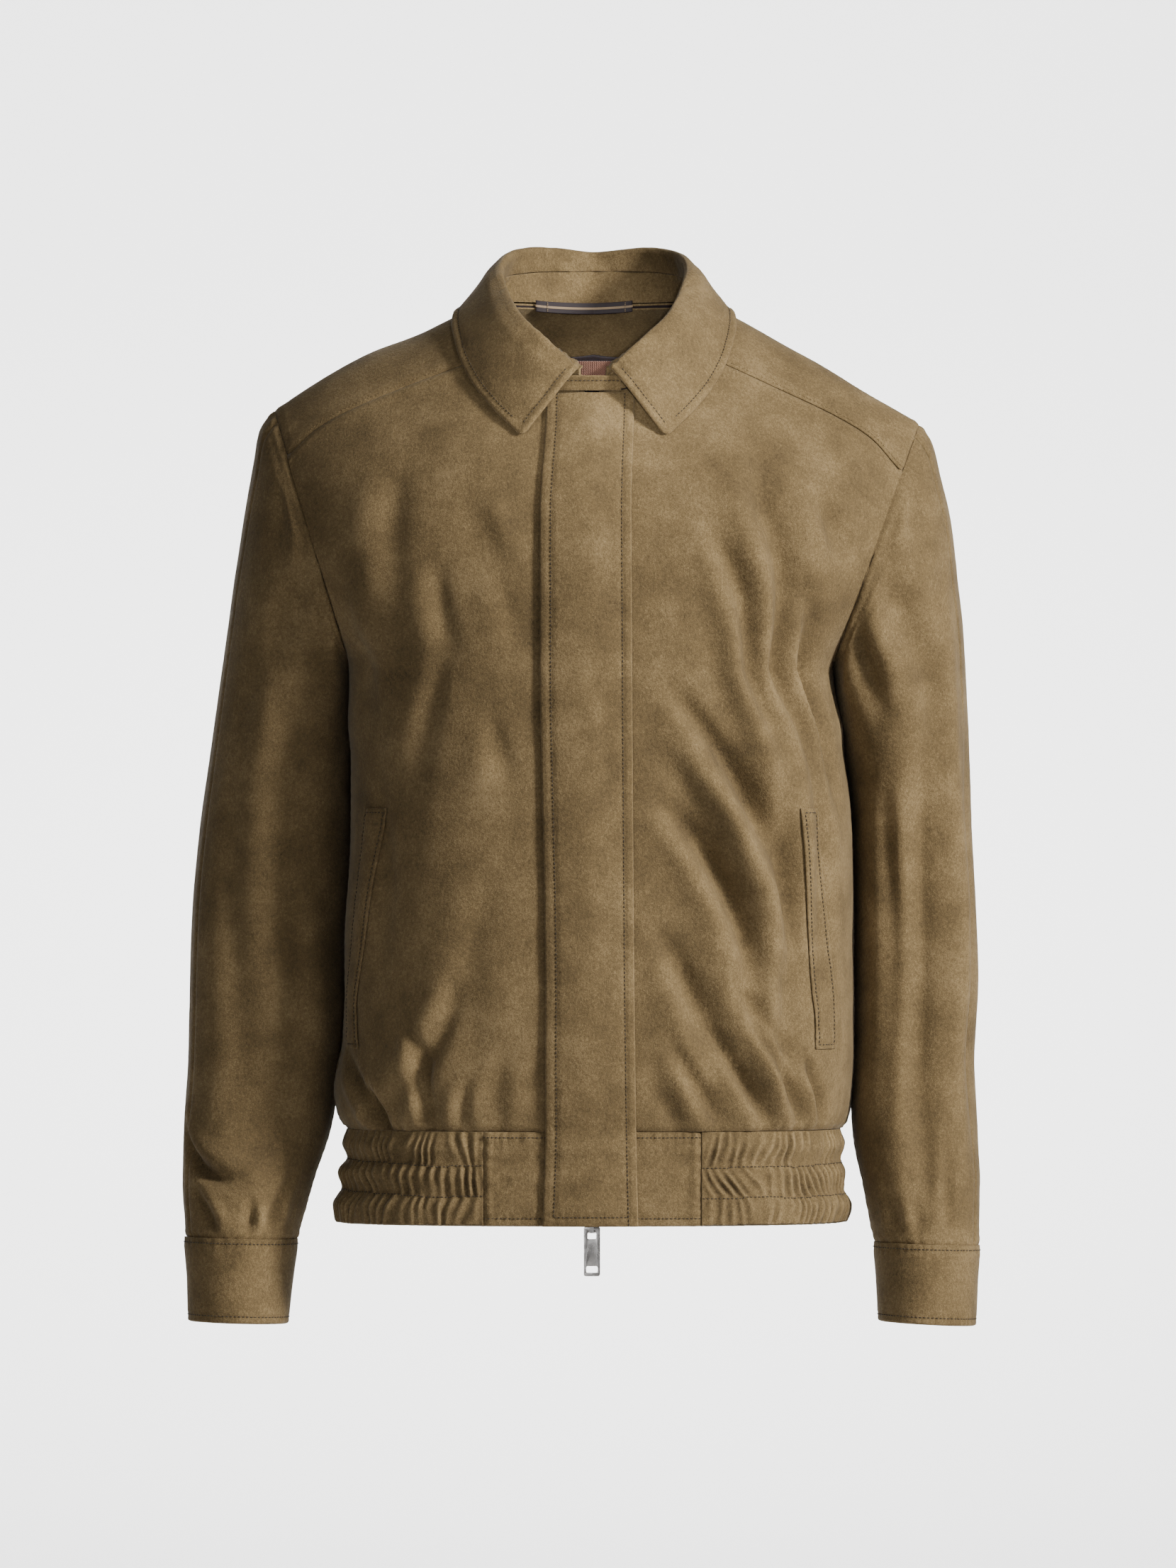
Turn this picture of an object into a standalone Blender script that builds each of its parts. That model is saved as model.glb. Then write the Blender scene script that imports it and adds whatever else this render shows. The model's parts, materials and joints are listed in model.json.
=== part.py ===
"""Suede blouson jacket, filled out as if worn, with nobody in it.

Sizes are in millimetres until a mesh is made. +X is the right of the front view, the front faces -Y,
+Z is up, and the origin lies in the middle of the neck. Left and right are those of the front view.
"""
import math

import bmesh
import bpy
import numpy as np
from mathutils import Matrix, Vector

MM = 0.001              # millimetres to metres
SIDES = ((-1, "left"), (1, "right"))
SEAM = 0.3              # gap between two pieces at a seam
SUEDE = 2.0             # wall of the suede with its backing
BAND = 2.4              # wall of the waistband, cuffs and placket
COLLAR = 2.2            # wall of the collar
THIN = 1.2              # wall of facing, lining and knit
TAPE = 1.0              # wall of the zip's tapes and the hanger loop

HEM_Z = -638.0
WAIST_Z = -572.0
UNDERARM_Z = -245.0
SHOULDER_DROP = 150.0   # height over which the shoulder rounds into the chest
NECK_X = 75.0           # half width of the neck hole
YOKE_X = 66.0           # where the yoke's front seam meets the neck
YOKE_BACK_Z = -92.0     # the yoke's seam across the back
ZIP_X = -1.5            # the zip lies a little left of the middle
FRONT_GAP = 5.0         # from the zip's middle to the edge of each front
TAPE_WIDTH = 13.0
TAB_LEFT_X = -77.5      # where the waistband's plain tabs end and its elastic begins
TAB_RIGHT_X = 75.0
TAB_EASE = 0.5             # radians round the waistband over which its gathers turn to run beside a tab


def table(columns, *rows):
    """Rows of numbers with named columns."""
    return {name: np.array([row[i] for row in rows], float) for i, name in enumerate(columns.split())}


# Level sections of the body: half widths on either side, depths and squareness, front and back.
BODY = table(
    "z left right front back square_front square_back",
    (-638, 182.0, 178.0, 122.0, 123.0, 2.6, 2.5),
    (-626, 183.5, 180.5, 122.5, 124.0, 2.6, 2.5),
    (-613, 177.5, 175.5, 121.5, 121.5, 2.6, 2.5),
    (-603, 179.5, 176.5, 122.0, 123.0, 2.6, 2.5),
    (-593, 174.0, 174.0, 121.0, 120.5, 2.6, 2.5),
    (-583, 177.0, 176.5, 122.0, 122.5, 2.6, 2.5),
    (-572, 174.5, 174.0, 121.5, 119.5, 2.6, 2.5),
    (-562, 180.0, 178.5, 124.0, 127.0, 2.6, 2.4),
    (-545, 182.5, 180.5, 127.0, 131.0, 2.6, 2.3),
    (-510, 176.0, 182.0, 130.5, 133.0, 2.6, 2.2),
    (-447, 176.0, 183.0, 133.0, 133.0, 2.6, 2.15),
    (-366, 171.8, 181.5, 135.0, 134.0, 2.6, 2.15),
    (-300, 171.5, 174.0, 136.0, 136.0, 2.6, 2.2),
    (-251, 169.8, 165.0, 137.0, 138.6, 2.6, 2.3),
    (-245, 171.0, 167.0, 137.0, 139.0, 2.6, 2.3),
    (-215, 194.0, 190.0, 137.0, 140.0, 2.4, 2.3),
    (-182, 216.0, 214.0, 135.5, 140.0, 2.3, 2.3),
    (-136, 235.0, 236.0, 128.0, 138.0, 2.2, 2.3),
    (-100, 242.0, 246.0, 118.0, 134.0, 2.2, 2.2),
    (-55, 246.0, 250.0, 100.0, 126.0, 2.2, 2.2),
    (0, 246.0, 250.0, 91.0, 119.0, 2.2, 2.2),
    (34, 246.0, 250.0, 88.0, 114.0, 2.2, 2.2),
)
# Height of the shoulder line at each distance out from the middle.
SHOULDER = table(
    "out left right",
    (0, 32.0, 32.0), (40, 24.0, 24.0), (75, 10.0, 10.0), (98, 0.0, 0.0), (125, -12.5, -15.0),
    (160, -25.5, -34.0), (190, -42.0, -52.0), (226, -66.0, -73.5), (232, -70.5, -77.5),
)
SHOULDER_TIP = {-1: 226.0, 1: 229.5}
NECK_FRONT = table("out z", (0, -55.0), (20, -53.0), (40, -46.0), (58, -33.5), (YOKE_X, -23.5))
NECK_BACK = table("out z", (0, 10.6), (30, 10.8), (50, 11.0), (65, 11.0), (NECK_X, 10.0))
NECK_BEND = 5.5         # how sharply the neck hole turns from the front to the shoulder
YOKE_FRONT = table(
    "out left right",
    (YOKE_X, -23.5, -23.5), (95, -36.0, -36.0), (130, -49.0, -52.0), (174, -67.5, -73.0),
    (195, -79.5, -86.5), (215, -98.0, -109.0),
)
# Creases and soft ridges: their sheet, both ends in the front view, depth (ridges below 0), half width.
FOLDS = table(
    "back x0 z0 x1 z1 depth width",
    (0, 113, -155, 150, -300, 4.5, 12), (0, 82, -178, 112, -270, 3.0, 12),
    (0, 92, -222, 108, -330, -2.6, 13),
    (0, 54, -262, 98, -375, 2.6, 12), (0, 28, -350, 60, -440, 2.2, 14), (0, 118, -330, 132, -470, -2.2, 15),
    (0, 70, -395, 110, -540, 2.0, 16), (0, 150, -135, 172, -175, 2.5, 9), (0, 95, -470, 75, -560, -2.0, 16),
    (0, -105, -182, -97, -246, 2.6, 8), (0, -106, -240, -126, -342, 2.4, 14),
    (0, -72, -135, -46, -172, -1.5, 12),
    (0, -66, -195, -50, -232, 2.0, 10), (0, -70, -288, -58, -327, 1.8, 10),
    (0, -130, -380, -100, -520, -2.4, 20),
    (0, -155, -540, -145, -572, 3.0, 8), (0, -110, -520, -112, -570, 2.2, 10),
    (0, -150, -180, -140, -290, -2.4, 18),
    (1, 60, -130, 120, -300, 2.6, 18), (1, -70, -140, -115, -280, 3.0, 16),
    (1, 20, -300, 60, -500, 2.2, 20),
    (1, -40, -320, -90, -520, 2.6, 18), (1, 120, -400, 100, -560, -2.6, 20),
    (1, -130, -420, -120, -560, -2.4, 18),
)
BLOUSE_FOLDS = 34       # soft upright folds round the waist, above the elastic
BLOUSE_DEPTH = 1.8
BLOUSE_HEIGHT = 55.0
GATHER_PITCH = 12.4     # elastic gathers, each channel with its own
GATHER_DEPTH = 1.5
CHANNELS = table(
    "z depth shift slant",
    (-572, 0.4, 0.0, 0.05), (-582.5, 1.0, 0.0, 0.12), (-593, 0.2, 0.3, 0.0), (-603, 1.0, 0.45, -0.15),
    (-613, 0.2, 0.5, 0.0), (-625.5, 1.0, 0.8, 0.2), (-638, 0.5, 0.9, 0.0),
)

# Sleeve sections: the outermost and innermost point in the front view, the middle's y, half depth.
SLEEVE_LEFT = table(
    "out_x out_z in_x in_z mid_y depth",
    (226.0, -66.0, 171.0, -245.0, 2, 71), (236.0, -81.0, 171.2, -250.5, 3, 73),
    (241.0, -106.0, 171.4, -257.0, 5, 74),
    (246.5, -138.0, 171.4, -266.5, 9, 74), (252.5, -178.0, 171.0, -280.0, 14, 73.5),
    (259.0, -222.0, 171.0, -300.0, 20, 72),
    (265.5, -268.0, 170.6, -326.0, 26, 70), (272.5, -316.0, 170.4, -357.0, 30, 67.5),
    (279.0, -366.0, 172.0, -396.0, 32, 64.5),
    (283.5, -418.0, 175.2, -438.0, 30, 61.5), (285.5, -470.0, 175.6, -483.0, 22, 58),
    (286.5, -522.0, 179.4, -530.0, 20, 54.5),
    (289.5, -572.0, 186.5, -574.0, 10, 50.5), (290.5, -610.0, 196.5, -606.0, 2, 46),
    (289.0, -634.0, 203.5, -631.0, -4, 42),
    (287.0, -649.0, 209.5, -650.5, -8, 39.5),
)
SLEEVE_RIGHT = table(
    "out_x out_z in_x in_z mid_y depth",
    (229.5, -75.9, 167.0, -245.0, 2, 71), (239.0, -90.0, 167.4, -250.5, 3, 73),
    (244.5, -113.0, 168.0, -257.5, 5, 74),
    (251.5, -143.0, 168.8, -267.5, 9, 74.5), (256.5, -182.0, 170.4, -281.0, 14, 74),
    (260.5, -225.0, 173.8, -301.0, 20, 73),
    (263.5, -270.0, 177.3, -327.0, 28, 72), (265.0, -317.0, 180.4, -359.0, 32, 70.5),
    (267.0, -366.0, 181.2, -398.0, 31, 68),
    (270.5, -418.0, 182.2, -440.0, 27, 65), (271.5, -470.0, 182.4, -484.0, 22, 61),
    (269.5, -524.0, 181.6, -530.0, 20, 56.5),
    (272.0, -575.0, 183.4, -575.0, 10, 51.5), (273.0, -612.0, 189.0, -607.0, 2, 46.5),
    (272.8, -636.0, 194.0, -632.0, -4, 42),
    (271.0, -655.0, 198.0, -652.5, -8, 39.5),
)
CUFF_BOTTOM = {
    -1: (285.0, -707.5, 216.0, -709.5, -12.0, 37.0),
    1: (268.0, -711.0, 201.0, -707.5, -12.0, 37.0),
}
# Creases on the sleeves: side, angle round the sleeve (0 outside, 90 front) and part of its length.
SLEEVE_FOLDS = table(
    "side angle0 part0 angle1 part1 depth width",
    (-1, 95, 0.16, 50, 0.42, 2.6, 14), (-1, 70, 0.30, 95, 0.62, -2.4, 16),
    (-1, 120, 0.12, 100, 0.30, 2.6, 12),
    (-1, 55, 0.50, 85, 0.80, 2.4, 15), (-1, 20, 0.83, 75, 0.86, 2.4, 9),
    (-1, -80, 0.25, -50, 0.60, 2.6, 18),
    (-1, -120, 0.15, -90, 0.40, 2.6, 14), (-1, 110, 0.60, 75, 0.90, -2.0, 16),
    (1, 95, 0.14, 60, 0.40, 2.6, 14), (1, 45, 0.30, 50, 0.85, -2.2, 16), (1, 80, 0.45, 85, 0.92, 2.4, 14),
    (1, 125, 0.14, 105, 0.34, 2.6, 12), (1, 20, 0.45, 25, 0.80, 1.8, 12),
    (1, -80, 0.25, -50, 0.60, 2.6, 18),
    (1, -120, 0.15, -90, 0.40, 2.6, 14), (1, -40, 0.50, -80, 0.85, -2.2, 18),
)

# Half the collar, from its point to the middle of the back: place along the neck (0 middle front, 1 yoke's
# seam, 2 shoulder line, 3 middle back), then the stand's top seam, the roll and the edge.
COLLAR_ROWS = table(
    "part seam_x seam_y seam_z roll_x roll_y roll_z edge_x edge_t",
    (0.12, 8, -95.5, -43.5, 9, -99.5, -37.5, 50.5, -0.854),
    (0.36, 21, -92.5, -36.0, 21, -95.5, -27.0, 70.0, -0.738),
    (0.64, 37, -82.5, -25.0, 35, -85.0, -14.5, 86.0, -0.600),
    (0.88, 51, -65.0, -12.0, 49, -66.0, -0.5, 95.5, -0.439),
    (1.14, 61, -40.0, 3.0, 57.5, -38.0, 15.0, 99.5, -0.242),
    (1.77, 66, -8.0, 20.0, 62.5, -6.0, 33.0, 97.0, 0.015),
    (2.26, 60, 27.0, 29.0, 56, 27.0, 45.5, 84.0, 0.265),
    (2.62, 37, 52.0, 33.5, 34, 54.0, 51.0, 48.0, 0.422),
    (3.00, 0, 64.5, 34.5, 0, 67.0, 48.5, 0.0, 0.497),
)
# Places along the collar at which its section is drawn.
COLLAR_STATIONS = (0.12, 0.24, 0.36, 0.52, 0.68, 0.84, 1.0, 1.25, 1.5, 1.73, 2.0, 2.2, 2.4, 2.6, 2.8, 3.0)
# Section of the collar's fall: shares of seam, roll and edge, then how far outward and upward.
FALL_ROWS = table(
    "seam roll edge out up",
    (1, 0, 0, 0, 0), (0.5, 0.5, 0, 0, 0), (0, 1, 0, 0, -3.5), (0, 1, 0, 1.2, -0.8), (0, 1, 0, 4.0, 0.6),
    (0, 0.96, 0.04, 7.0, -0.4), (0, 0.8, 0.2, 7.0, 1.0), (0, 0.6, 0.4, 5.0, 1.0),
    (0, 0.3, 0.7, 2.4, 0.5), (0, 0, 1, 0, 0),
)
STAND_LIFT = 0.9        # the stand rises this far above the neck's edge
EDGE_LIFT = 0.9         # the fall's edge stands off what it lies on by this and its own wall
PLACKET = table(
    "z left right",
    (-638, -36.2, 31.0), (-572, -34.2, 29.6), (-470, -34.2, 28.2), (-240, -38.0, 26.7), (-140, -38.0, 26.2),
    (-71, -33.8, 28.0), (-55.6, -33.5, 28.4),
)
PLACKET_TOP = -55.6
# How far the placket's inside stands off the fronts, from its free edge to its sewn edge.
PLACKET_LIFT = table("share lift", (0, 0.9), (0.22, 3.6), (0.5, 4.8), (0.76, 3.2), (1, 1.0))
POCKET = table("z left right", (-515, -164.5, 155.5), (-486, -165.3, 154.5), (-443, -159.5, 151.5),
               (-403, -154.5, 148.5), (-346.5, -146.0, 141.5))
POCKET_WIDTH = 25.0
POCKET_LOW = -515.0
POCKET_HIGH = -346.5
POCKET_LIFT = 0.9
HANGER = {"left": -41.5, "right": 27.5, "top": 13.4, "bottom": 5.4, "off": 3.2, "slack": 6.5, "sag": 2.0}
INSIDE_GAP = 1.2        # between the yoke and what lines it
# What lines the yoke: how far out its ends lie, then t at its ends and how much lower its middle is.
FACING = {"out": 100.0, "t": 0.05, "drop": 0.547, "round": 0.8}
LINING = {"out": 114.0, "t": 0.12, "drop": 0.72, "round": 0.6}
NECK_RIB = {"left": -31.0, "right": 29.0, "low": -47.0, "high": -34.0, "y": -91.35, "lean": 0.1,
            "bend": 150.0}
# The stand's lapping front end.
COLLAR_TAB = {"left": -32.0, "right": 19.0, "low": -55.0, "rise": 10.6, "y": -96.3, "lean": 4.3,
              "bend": 170.0}
# How far the cuff stands off the sleeve's end at each share of its own length.
CUFF_LEVELS = ((0.0, 0.9), (0.08, 1.6), (0.5, 0.6), (1.0, 0.9))
SLIDER = {"width": 8.6, "thick": 5.6, "top": -629.0, "bottom": -642.5, "ahead": 3.1}
BRIDGE = {"wide": 2.4, "deep": 0.9, "sunk": 0.5, "ahead": 1.6, "top": -633.2, "under": -634.5,
          "over": -640.9, "bottom": -642.2}
PULL = {"width": 11.4, "length": 34.8, "thick": 1.4, "above_pin": 1.2, "ahead": 1.8}
# The pull's windows: edges across it, and edges down from the pin.
PULL_ACROSS = (-4.0, -3.0, 3.0, 4.0)
PULL_DOWN = (-31.0, -26.5, -7.6)
PIN_Z = -638.9

# Base colour, roughness and metallic value of each material.
MATERIALS = {
    "suede": ((0.165, 0.118, 0.060), 0.92, 0.0),
    "lining": ((0.045, 0.028, 0.032), 0.55, 0.0),
    "rib_knit": ((0.230, 0.085, 0.050), 0.90, 0.0),
    "woven_tape": ((0.035, 0.018, 0.018), 0.70, 0.0),
    "zip_cloth": ((0.050, 0.038, 0.024), 0.85, 0.0),
    "zip_metal": ((0.230, 0.210, 0.205), 0.28, 1.0),
}


# ---- curves and surfaces -------------------------------------------------------------------------

def smooth(x, xs, ys):
    """A cubic through a table's rows that never overshoots; level beyond its ends."""
    x = np.clip(x, xs[0], xs[-1])
    row = np.clip(np.searchsorted(xs, x, side="right") - 1, 0, len(xs) - 2)
    step = np.diff(xs)
    rate = np.diff(ys) / step
    slope = np.concatenate([[rate[0]], np.zeros(len(rate) - 1), [rate[-1]]])
    same = rate[:-1] * rate[1:] > 0
    slope[1:-1][same] = 2 / (1 / rate[:-1][same] + 1 / rate[1:][same])
    t = (x - xs[row]) / step[row]
    return (ys[row] * (1 + 2 * t) * (1 - t) ** 2 + ys[row + 1] * (3 - 2 * t) * t ** 2
            + step[row] * (slope[row] * t * (1 - t) ** 2 - slope[row + 1] * t ** 2 * (1 - t)))


def sided(rows, key, at, x):
    """A column pair left/right of a table, chosen by the sign of x."""
    left, right = (smooth(at, rows[key], rows[name]) for name in ("left", "right"))
    return np.where(np.asarray(x) < 0, left, right)


def ridge(x):
    return sided(SHOULDER, "out", np.abs(x), x)


def section(z, x_sign, back):
    """Half width, depth and squareness of the body at height z."""
    width = sided(BODY, "z", z, x_sign)
    depth, square = [
        np.where(back, *(smooth(z, BODY["z"], BODY[name + sheet]) for sheet in ("back", "front")))
        for name in ("", "square_")]
    return width, depth, square


def plain_body(theta, z):
    """The body without folds. theta runs from 0 at the middle front, past pi/2 at +X, to pi at the back."""
    theta, z = np.broadcast_arrays(np.asarray(theta, float), np.asarray(z, float))
    across, along = np.sin(theta), np.cos(theta)
    width, depth, square = section(z, across, along < 0)
    x = np.sign(across) * width * np.abs(across) ** (2 / square)
    drop = np.clip((ridge(x) - z) / SHOULDER_DROP, 0, 1)
    rise = np.sqrt(1 - (1 - drop) ** 2)
    y = -np.sign(along) * depth * np.abs(along) ** (2 / square) * rise
    return np.stack([x, y, z], -1)


def theta_at(x, z, back):
    """The angle at which the body passes through x at height z."""
    x, z, back = np.broadcast_arrays(np.asarray(x, float), np.asarray(z, float), np.asarray(back, bool))
    width, _, square = section(z, x, back)
    angle = np.arcsin(np.clip(np.abs(x) / width, 0, 1) ** (square / 2))
    return np.sign(x) * np.where(back, math.pi - angle, angle) + np.where((x == 0) & back, math.pi, 0)


def girth_table():
    """Distance round the body from the middle front, on one reference section."""
    theta = np.linspace(0, math.pi, 400)
    ring = plain_body(theta, np.full(400, -450.0))
    return theta, np.concatenate([[0], np.cumsum(np.linalg.norm(np.diff(ring, axis=0), axis=1))])


GIRTH_THETA, GIRTH = girth_table()


def girth(theta):
    turned = (np.asarray(theta) + math.pi) % (2 * math.pi) - math.pi
    return np.sign(turned) * np.interp(np.abs(turned), GIRTH_THETA, GIRTH)


def theta_of_girth(distance):
    return np.sign(distance) * np.interp(np.abs(distance), GIRTH, GIRTH_THETA)


def crease(u, v, start, end, depth, width):
    """A soft trough along a line, fading at both ends."""
    line = np.subtract(end, start)
    length = math.hypot(*line)
    along = np.clip(((u - start[0]) * line[0] + (v - start[1]) * line[1]) / length ** 2, 0, 1)
    away = np.hypot(u - start[0] - along * line[0], v - start[1] - along * line[1])
    return -depth * np.sin(math.pi * (0.1 + 0.8 * along)) * np.exp(-(away / width) ** 2)


def armhole_x(x, z):
    """How far out the armhole seam lies at height z, on the side that x is on."""
    tip_z = np.where(x < 0, float(ridge(-SHOULDER_TIP[-1])), float(ridge(SHOULDER_TIP[1])))
    tip_x = np.where(x < 0, SHOULDER_TIP[-1], SHOULDER_TIP[1])
    low_x = sided(BODY, "z", UNDERARM_Z, x)
    return low_x + (tip_x - low_x) * (z - UNDERARM_Z) / (tip_z - UNDERARM_Z)


def armhole_angle(side, z, back):
    """Angle from the middle of a sheet out to the armhole, or to the side seam below it."""
    width, _, square = section(z, side, back)
    reach = np.clip(armhole_x(side, z) / width, 0, 1) ** (square / 2)
    return np.where(z > UNDERARM_Z, np.arcsin(reach), math.pi / 2)


def fold_lift(theta, z):
    """How far the folds move the body's cloth outward."""
    around = girth(theta)
    lift = np.zeros(np.broadcast(around, z).shape)
    for back, x0, z0, x1, z1, depth, width in zip(*FOLDS.values()):
        start = (float(girth(theta_at(x0, z0, back > 0))), z0)
        end = (float(girth(theta_at(x1, z1, back > 0))), z1)
        lift = lift + crease(around, z, start, end, depth, width)
    height = np.clip((z - WAIST_Z) / BLOUSE_HEIGHT, 0, 1)
    blouse = BLOUSE_DEPTH * np.sin(height * math.pi) * (1 - height)
    blouse = blouse * (1 - 0.85 * np.abs(np.sin(theta)) ** 10)
    lift = lift + blouse * np.sin(theta * BLOUSE_FOLDS / 2 + 2.2 * np.sin(theta * 3))
    x = plain_body(theta, z)[..., 0]
    near_zip = np.where(np.cos(theta) > 0, np.clip((np.abs(x) - 38) / 30, 0, 1), 1)
    near_yoke = np.clip((ridge(x) - z - 50) / 40, 0, 1)
    near_arm = np.clip(np.maximum(armhole_x(x, z) - np.abs(x), UNDERARM_Z - z) / 14, 0, 1)
    return lift * near_zip * near_yoke * near_arm


def body(theta, z):
    """The body's cloth with its folds, above the waistband."""
    outward = np.stack(np.broadcast_arrays(np.sin(theta), -np.cos(theta), np.zeros_like(theta + z)), -1)
    lift = np.where(z >= WAIST_Z, fold_lift(theta, z), 0)
    return plain_body(theta, z) + outward * lift[..., None]


def front_y(x, z):
    """The y of the front's outer face at a place in the front view."""
    return plain_body(theta_at(x, z, False), z)[..., 1]


def armhole(side, psi):
    """The armhole seam. psi is 0 at the shoulder tip, pi/2 in front, pi under the arm, below 0 behind."""
    top_x, low_x = SHOULDER_TIP[side], float(sided(BODY, "z", UNDERARM_Z, side))
    top_z = float(ridge(side * top_x))
    share = (1 - np.cos(psi)) / 2
    x, z = side * (top_x + (low_x - top_x) * share), top_z + (UNDERARM_Z - top_z) * share
    return x, z, np.sin(psi) < -1e-9


ARM_SEGMENTS = (8, 4, 4, 8)     # of the armhole: back, yoke behind, yoke in front, front


def arm_angles(side):
    """psi at each vertex of the armhole, from under the arm round the back to under the arm."""
    column = "left" if side < 0 else "right"
    top_z = float(ridge(side * SHOULDER_TIP[side]))
    half = (top_z - UNDERARM_Z) / 2
    front = math.acos((YOKE_FRONT[column][-1] - UNDERARM_Z - half) / half)
    behind = math.acos((YOKE_BACK_Z - 6 - UNDERARM_Z - half) / half)
    marks = (-math.pi, -behind, 0.0, front, math.pi)
    spans = [np.linspace(a, b, n + 1)[:-1] for a, b, n in zip(marks, marks[1:], ARM_SEGMENTS)]
    return np.concatenate(spans + [[math.pi]])


def superellipse(angle, square):
    c, s = np.cos(angle), np.sin(angle)
    return np.sign(c) * np.abs(c) ** (2 / square), np.sign(s) * np.abs(s) ** (2 / square)


def sleeve_surface(side, psi, part):
    """The sleeve at an angle round it and a part (0 to 1) of its length."""
    rows = SLEEVE_LEFT if side < 0 else SLEEVE_RIGHT
    at = np.linspace(0, 1, len(rows["out_x"]))
    psi, part = np.broadcast_arrays(np.asarray(psi, float), np.asarray(part, float))
    out_x, out_z, in_x, in_z, mid_y, depth = (smooth(part, at, rows[name]) for name in rows)
    square = 2.0 + 0.25 * np.sin(math.pi * np.clip(part, 0, 1))
    blend = np.clip(part / 0.3, 0, 1)
    along = np.cos(psi) * (1 - blend) + superellipse(psi, square)[0] * blend
    share = (1 - along) / 2
    x, z = side * (out_x + (in_x - out_x) * share), out_z + (in_z - out_z) * share
    own_y = mid_y - depth * superellipse(psi, square)[1]
    hole_x, hole_z, hole_back = armhole(side, psi)
    hole_y = plain_body(theta_at(hole_x, hole_z, hole_back), hole_z)[..., 1]
    ease = np.clip(part / 0.28, 0, 1)
    ease = ease * ease * (3 - 2 * ease)
    y = hole_y * (1 - ease) + own_y * ease
    lift = np.zeros(psi.shape)
    around, down = psi * 58.0, part * 600.0
    for of_side, angle0, part0, angle1, part1, fold_depth, width in zip(*SLEEVE_FOLDS.values()):
        if of_side == side:
            start, end = (math.radians(angle0) * 58, part0 * 600), (math.radians(angle1) * 58, part1 * 600)
            lift = lift + crease(around, down, start, end, fold_depth, width)
    lift = lift * np.clip(part / 0.1, 0, 1) * np.clip((1 - part) / 0.06, 0, 1)
    return np.stack([x + side * np.cos(psi) * lift, y - np.sin(psi) * lift, z], -1)


def over_shoulder(x, t):
    """x and t to the body's angle and height; t runs from the front (below 0) over the shoulder line."""
    z = ridge(x) - SHOULDER_DROP * t * t
    return theta_at(x, z, t > 0), z


def shoulder_t(x, z, back):
    t = np.sqrt(np.clip((ridge(x) - z) / SHOULDER_DROP, 0, 1))
    return np.where(back, t, -t)


def shoulder(x, t):
    return plain_body(*over_shoulder(x, t))


def neck_hole(side, part):
    """x and t of the neck hole; part is 0 at the middle front, 1, 2 and 3 as in COLLAR_ROWS."""
    yoke_t = float(shoulder_t(YOKE_X, NECK_FRONT["z"][-1], True))
    front_x = YOKE_X * np.clip(part, 0, 1)
    front_t = shoulder_t(front_x, smooth(front_x, NECK_FRONT["out"], NECK_FRONT["z"]), False)
    side_t = -yoke_t * np.clip(2 - part, 0, 1)
    side_x = NECK_X - (NECK_X - YOKE_X) * np.abs(side_t / yoke_t) ** NECK_BEND
    back_x = NECK_X * np.cos(np.clip(part - 2, 0, 1) * math.pi / 2)
    back_t = shoulder_t(back_x, smooth(back_x, NECK_BACK["out"], NECK_BACK["z"]), True)
    x = np.where(part < 1, front_x, np.where(part < 2, side_x, back_x))
    t = np.where(part < 1, front_t, np.where(part <= 2, side_t, back_t))
    return side * x, t


def normals_of(surface, u, v, step_u, step_v):
    """Unit normals of a surface of two numbers."""
    across = surface(u + step_u, v) - surface(u - step_u, v)
    return unit(np.cross(across, surface(u, v + step_v) - surface(u, v - step_v)))


# ---- walls ---------------------------------------------------------------------------------------

def unit(vectors):
    return vectors / np.maximum(np.linalg.norm(vectors, axis=-1, keepdims=True), 1e-12)


class Panel:
    """A grid of outer points, rows by columns, with the step from each to its inner point."""

    def __init__(self, points, wall, flip=False, closed=False, normals=None):
        self.points, self.wall, self.closed = np.array(points, float), wall, closed
        if normals is None:
            normals = unit(np.cross(self.slope(1), self.slope(0)))
        self.normals = normals * (-1 if flip else 1)
        self.inner = -self.normals * wall

    def slope(self, axis):
        if axis == 1 and self.closed:
            return np.roll(self.points, -1, 1) - np.roll(self.points, 1, 1)
        return np.gradient(self.points, axis=axis)

    def edge(self, name):
        rows, columns = self.points.shape[:2]
        row, column = np.arange(rows), np.arange(columns)
        return {"south": (0 * column, column), "north": (0 * column + rows - 1, column),
                "west": (row, 0 * row), "east": (row, 0 * row + columns - 1)}[name]

    def into(self, name):
        """Unit steps from an edge into the panel, square to the edge."""
        points = self.points if name in ("south", "north") else self.points.swapaxes(0, 1)
        if name in ("north", "east"):
            points = points[::-1]
        tangent = unit(np.gradient(points[0], axis=0))
        step = points[1] - points[0]
        return unit(step - tangent * np.sum(step * tangent, -1, keepdims=True))

    def trim(self, *names):
        """Draws the named edges back by half a seam's gap."""
        shift = np.zeros_like(self.points)
        for name in names:
            shift[self.edge(name)] += self.into(name) * SEAM / 2
        self.points = self.points + shift


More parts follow.
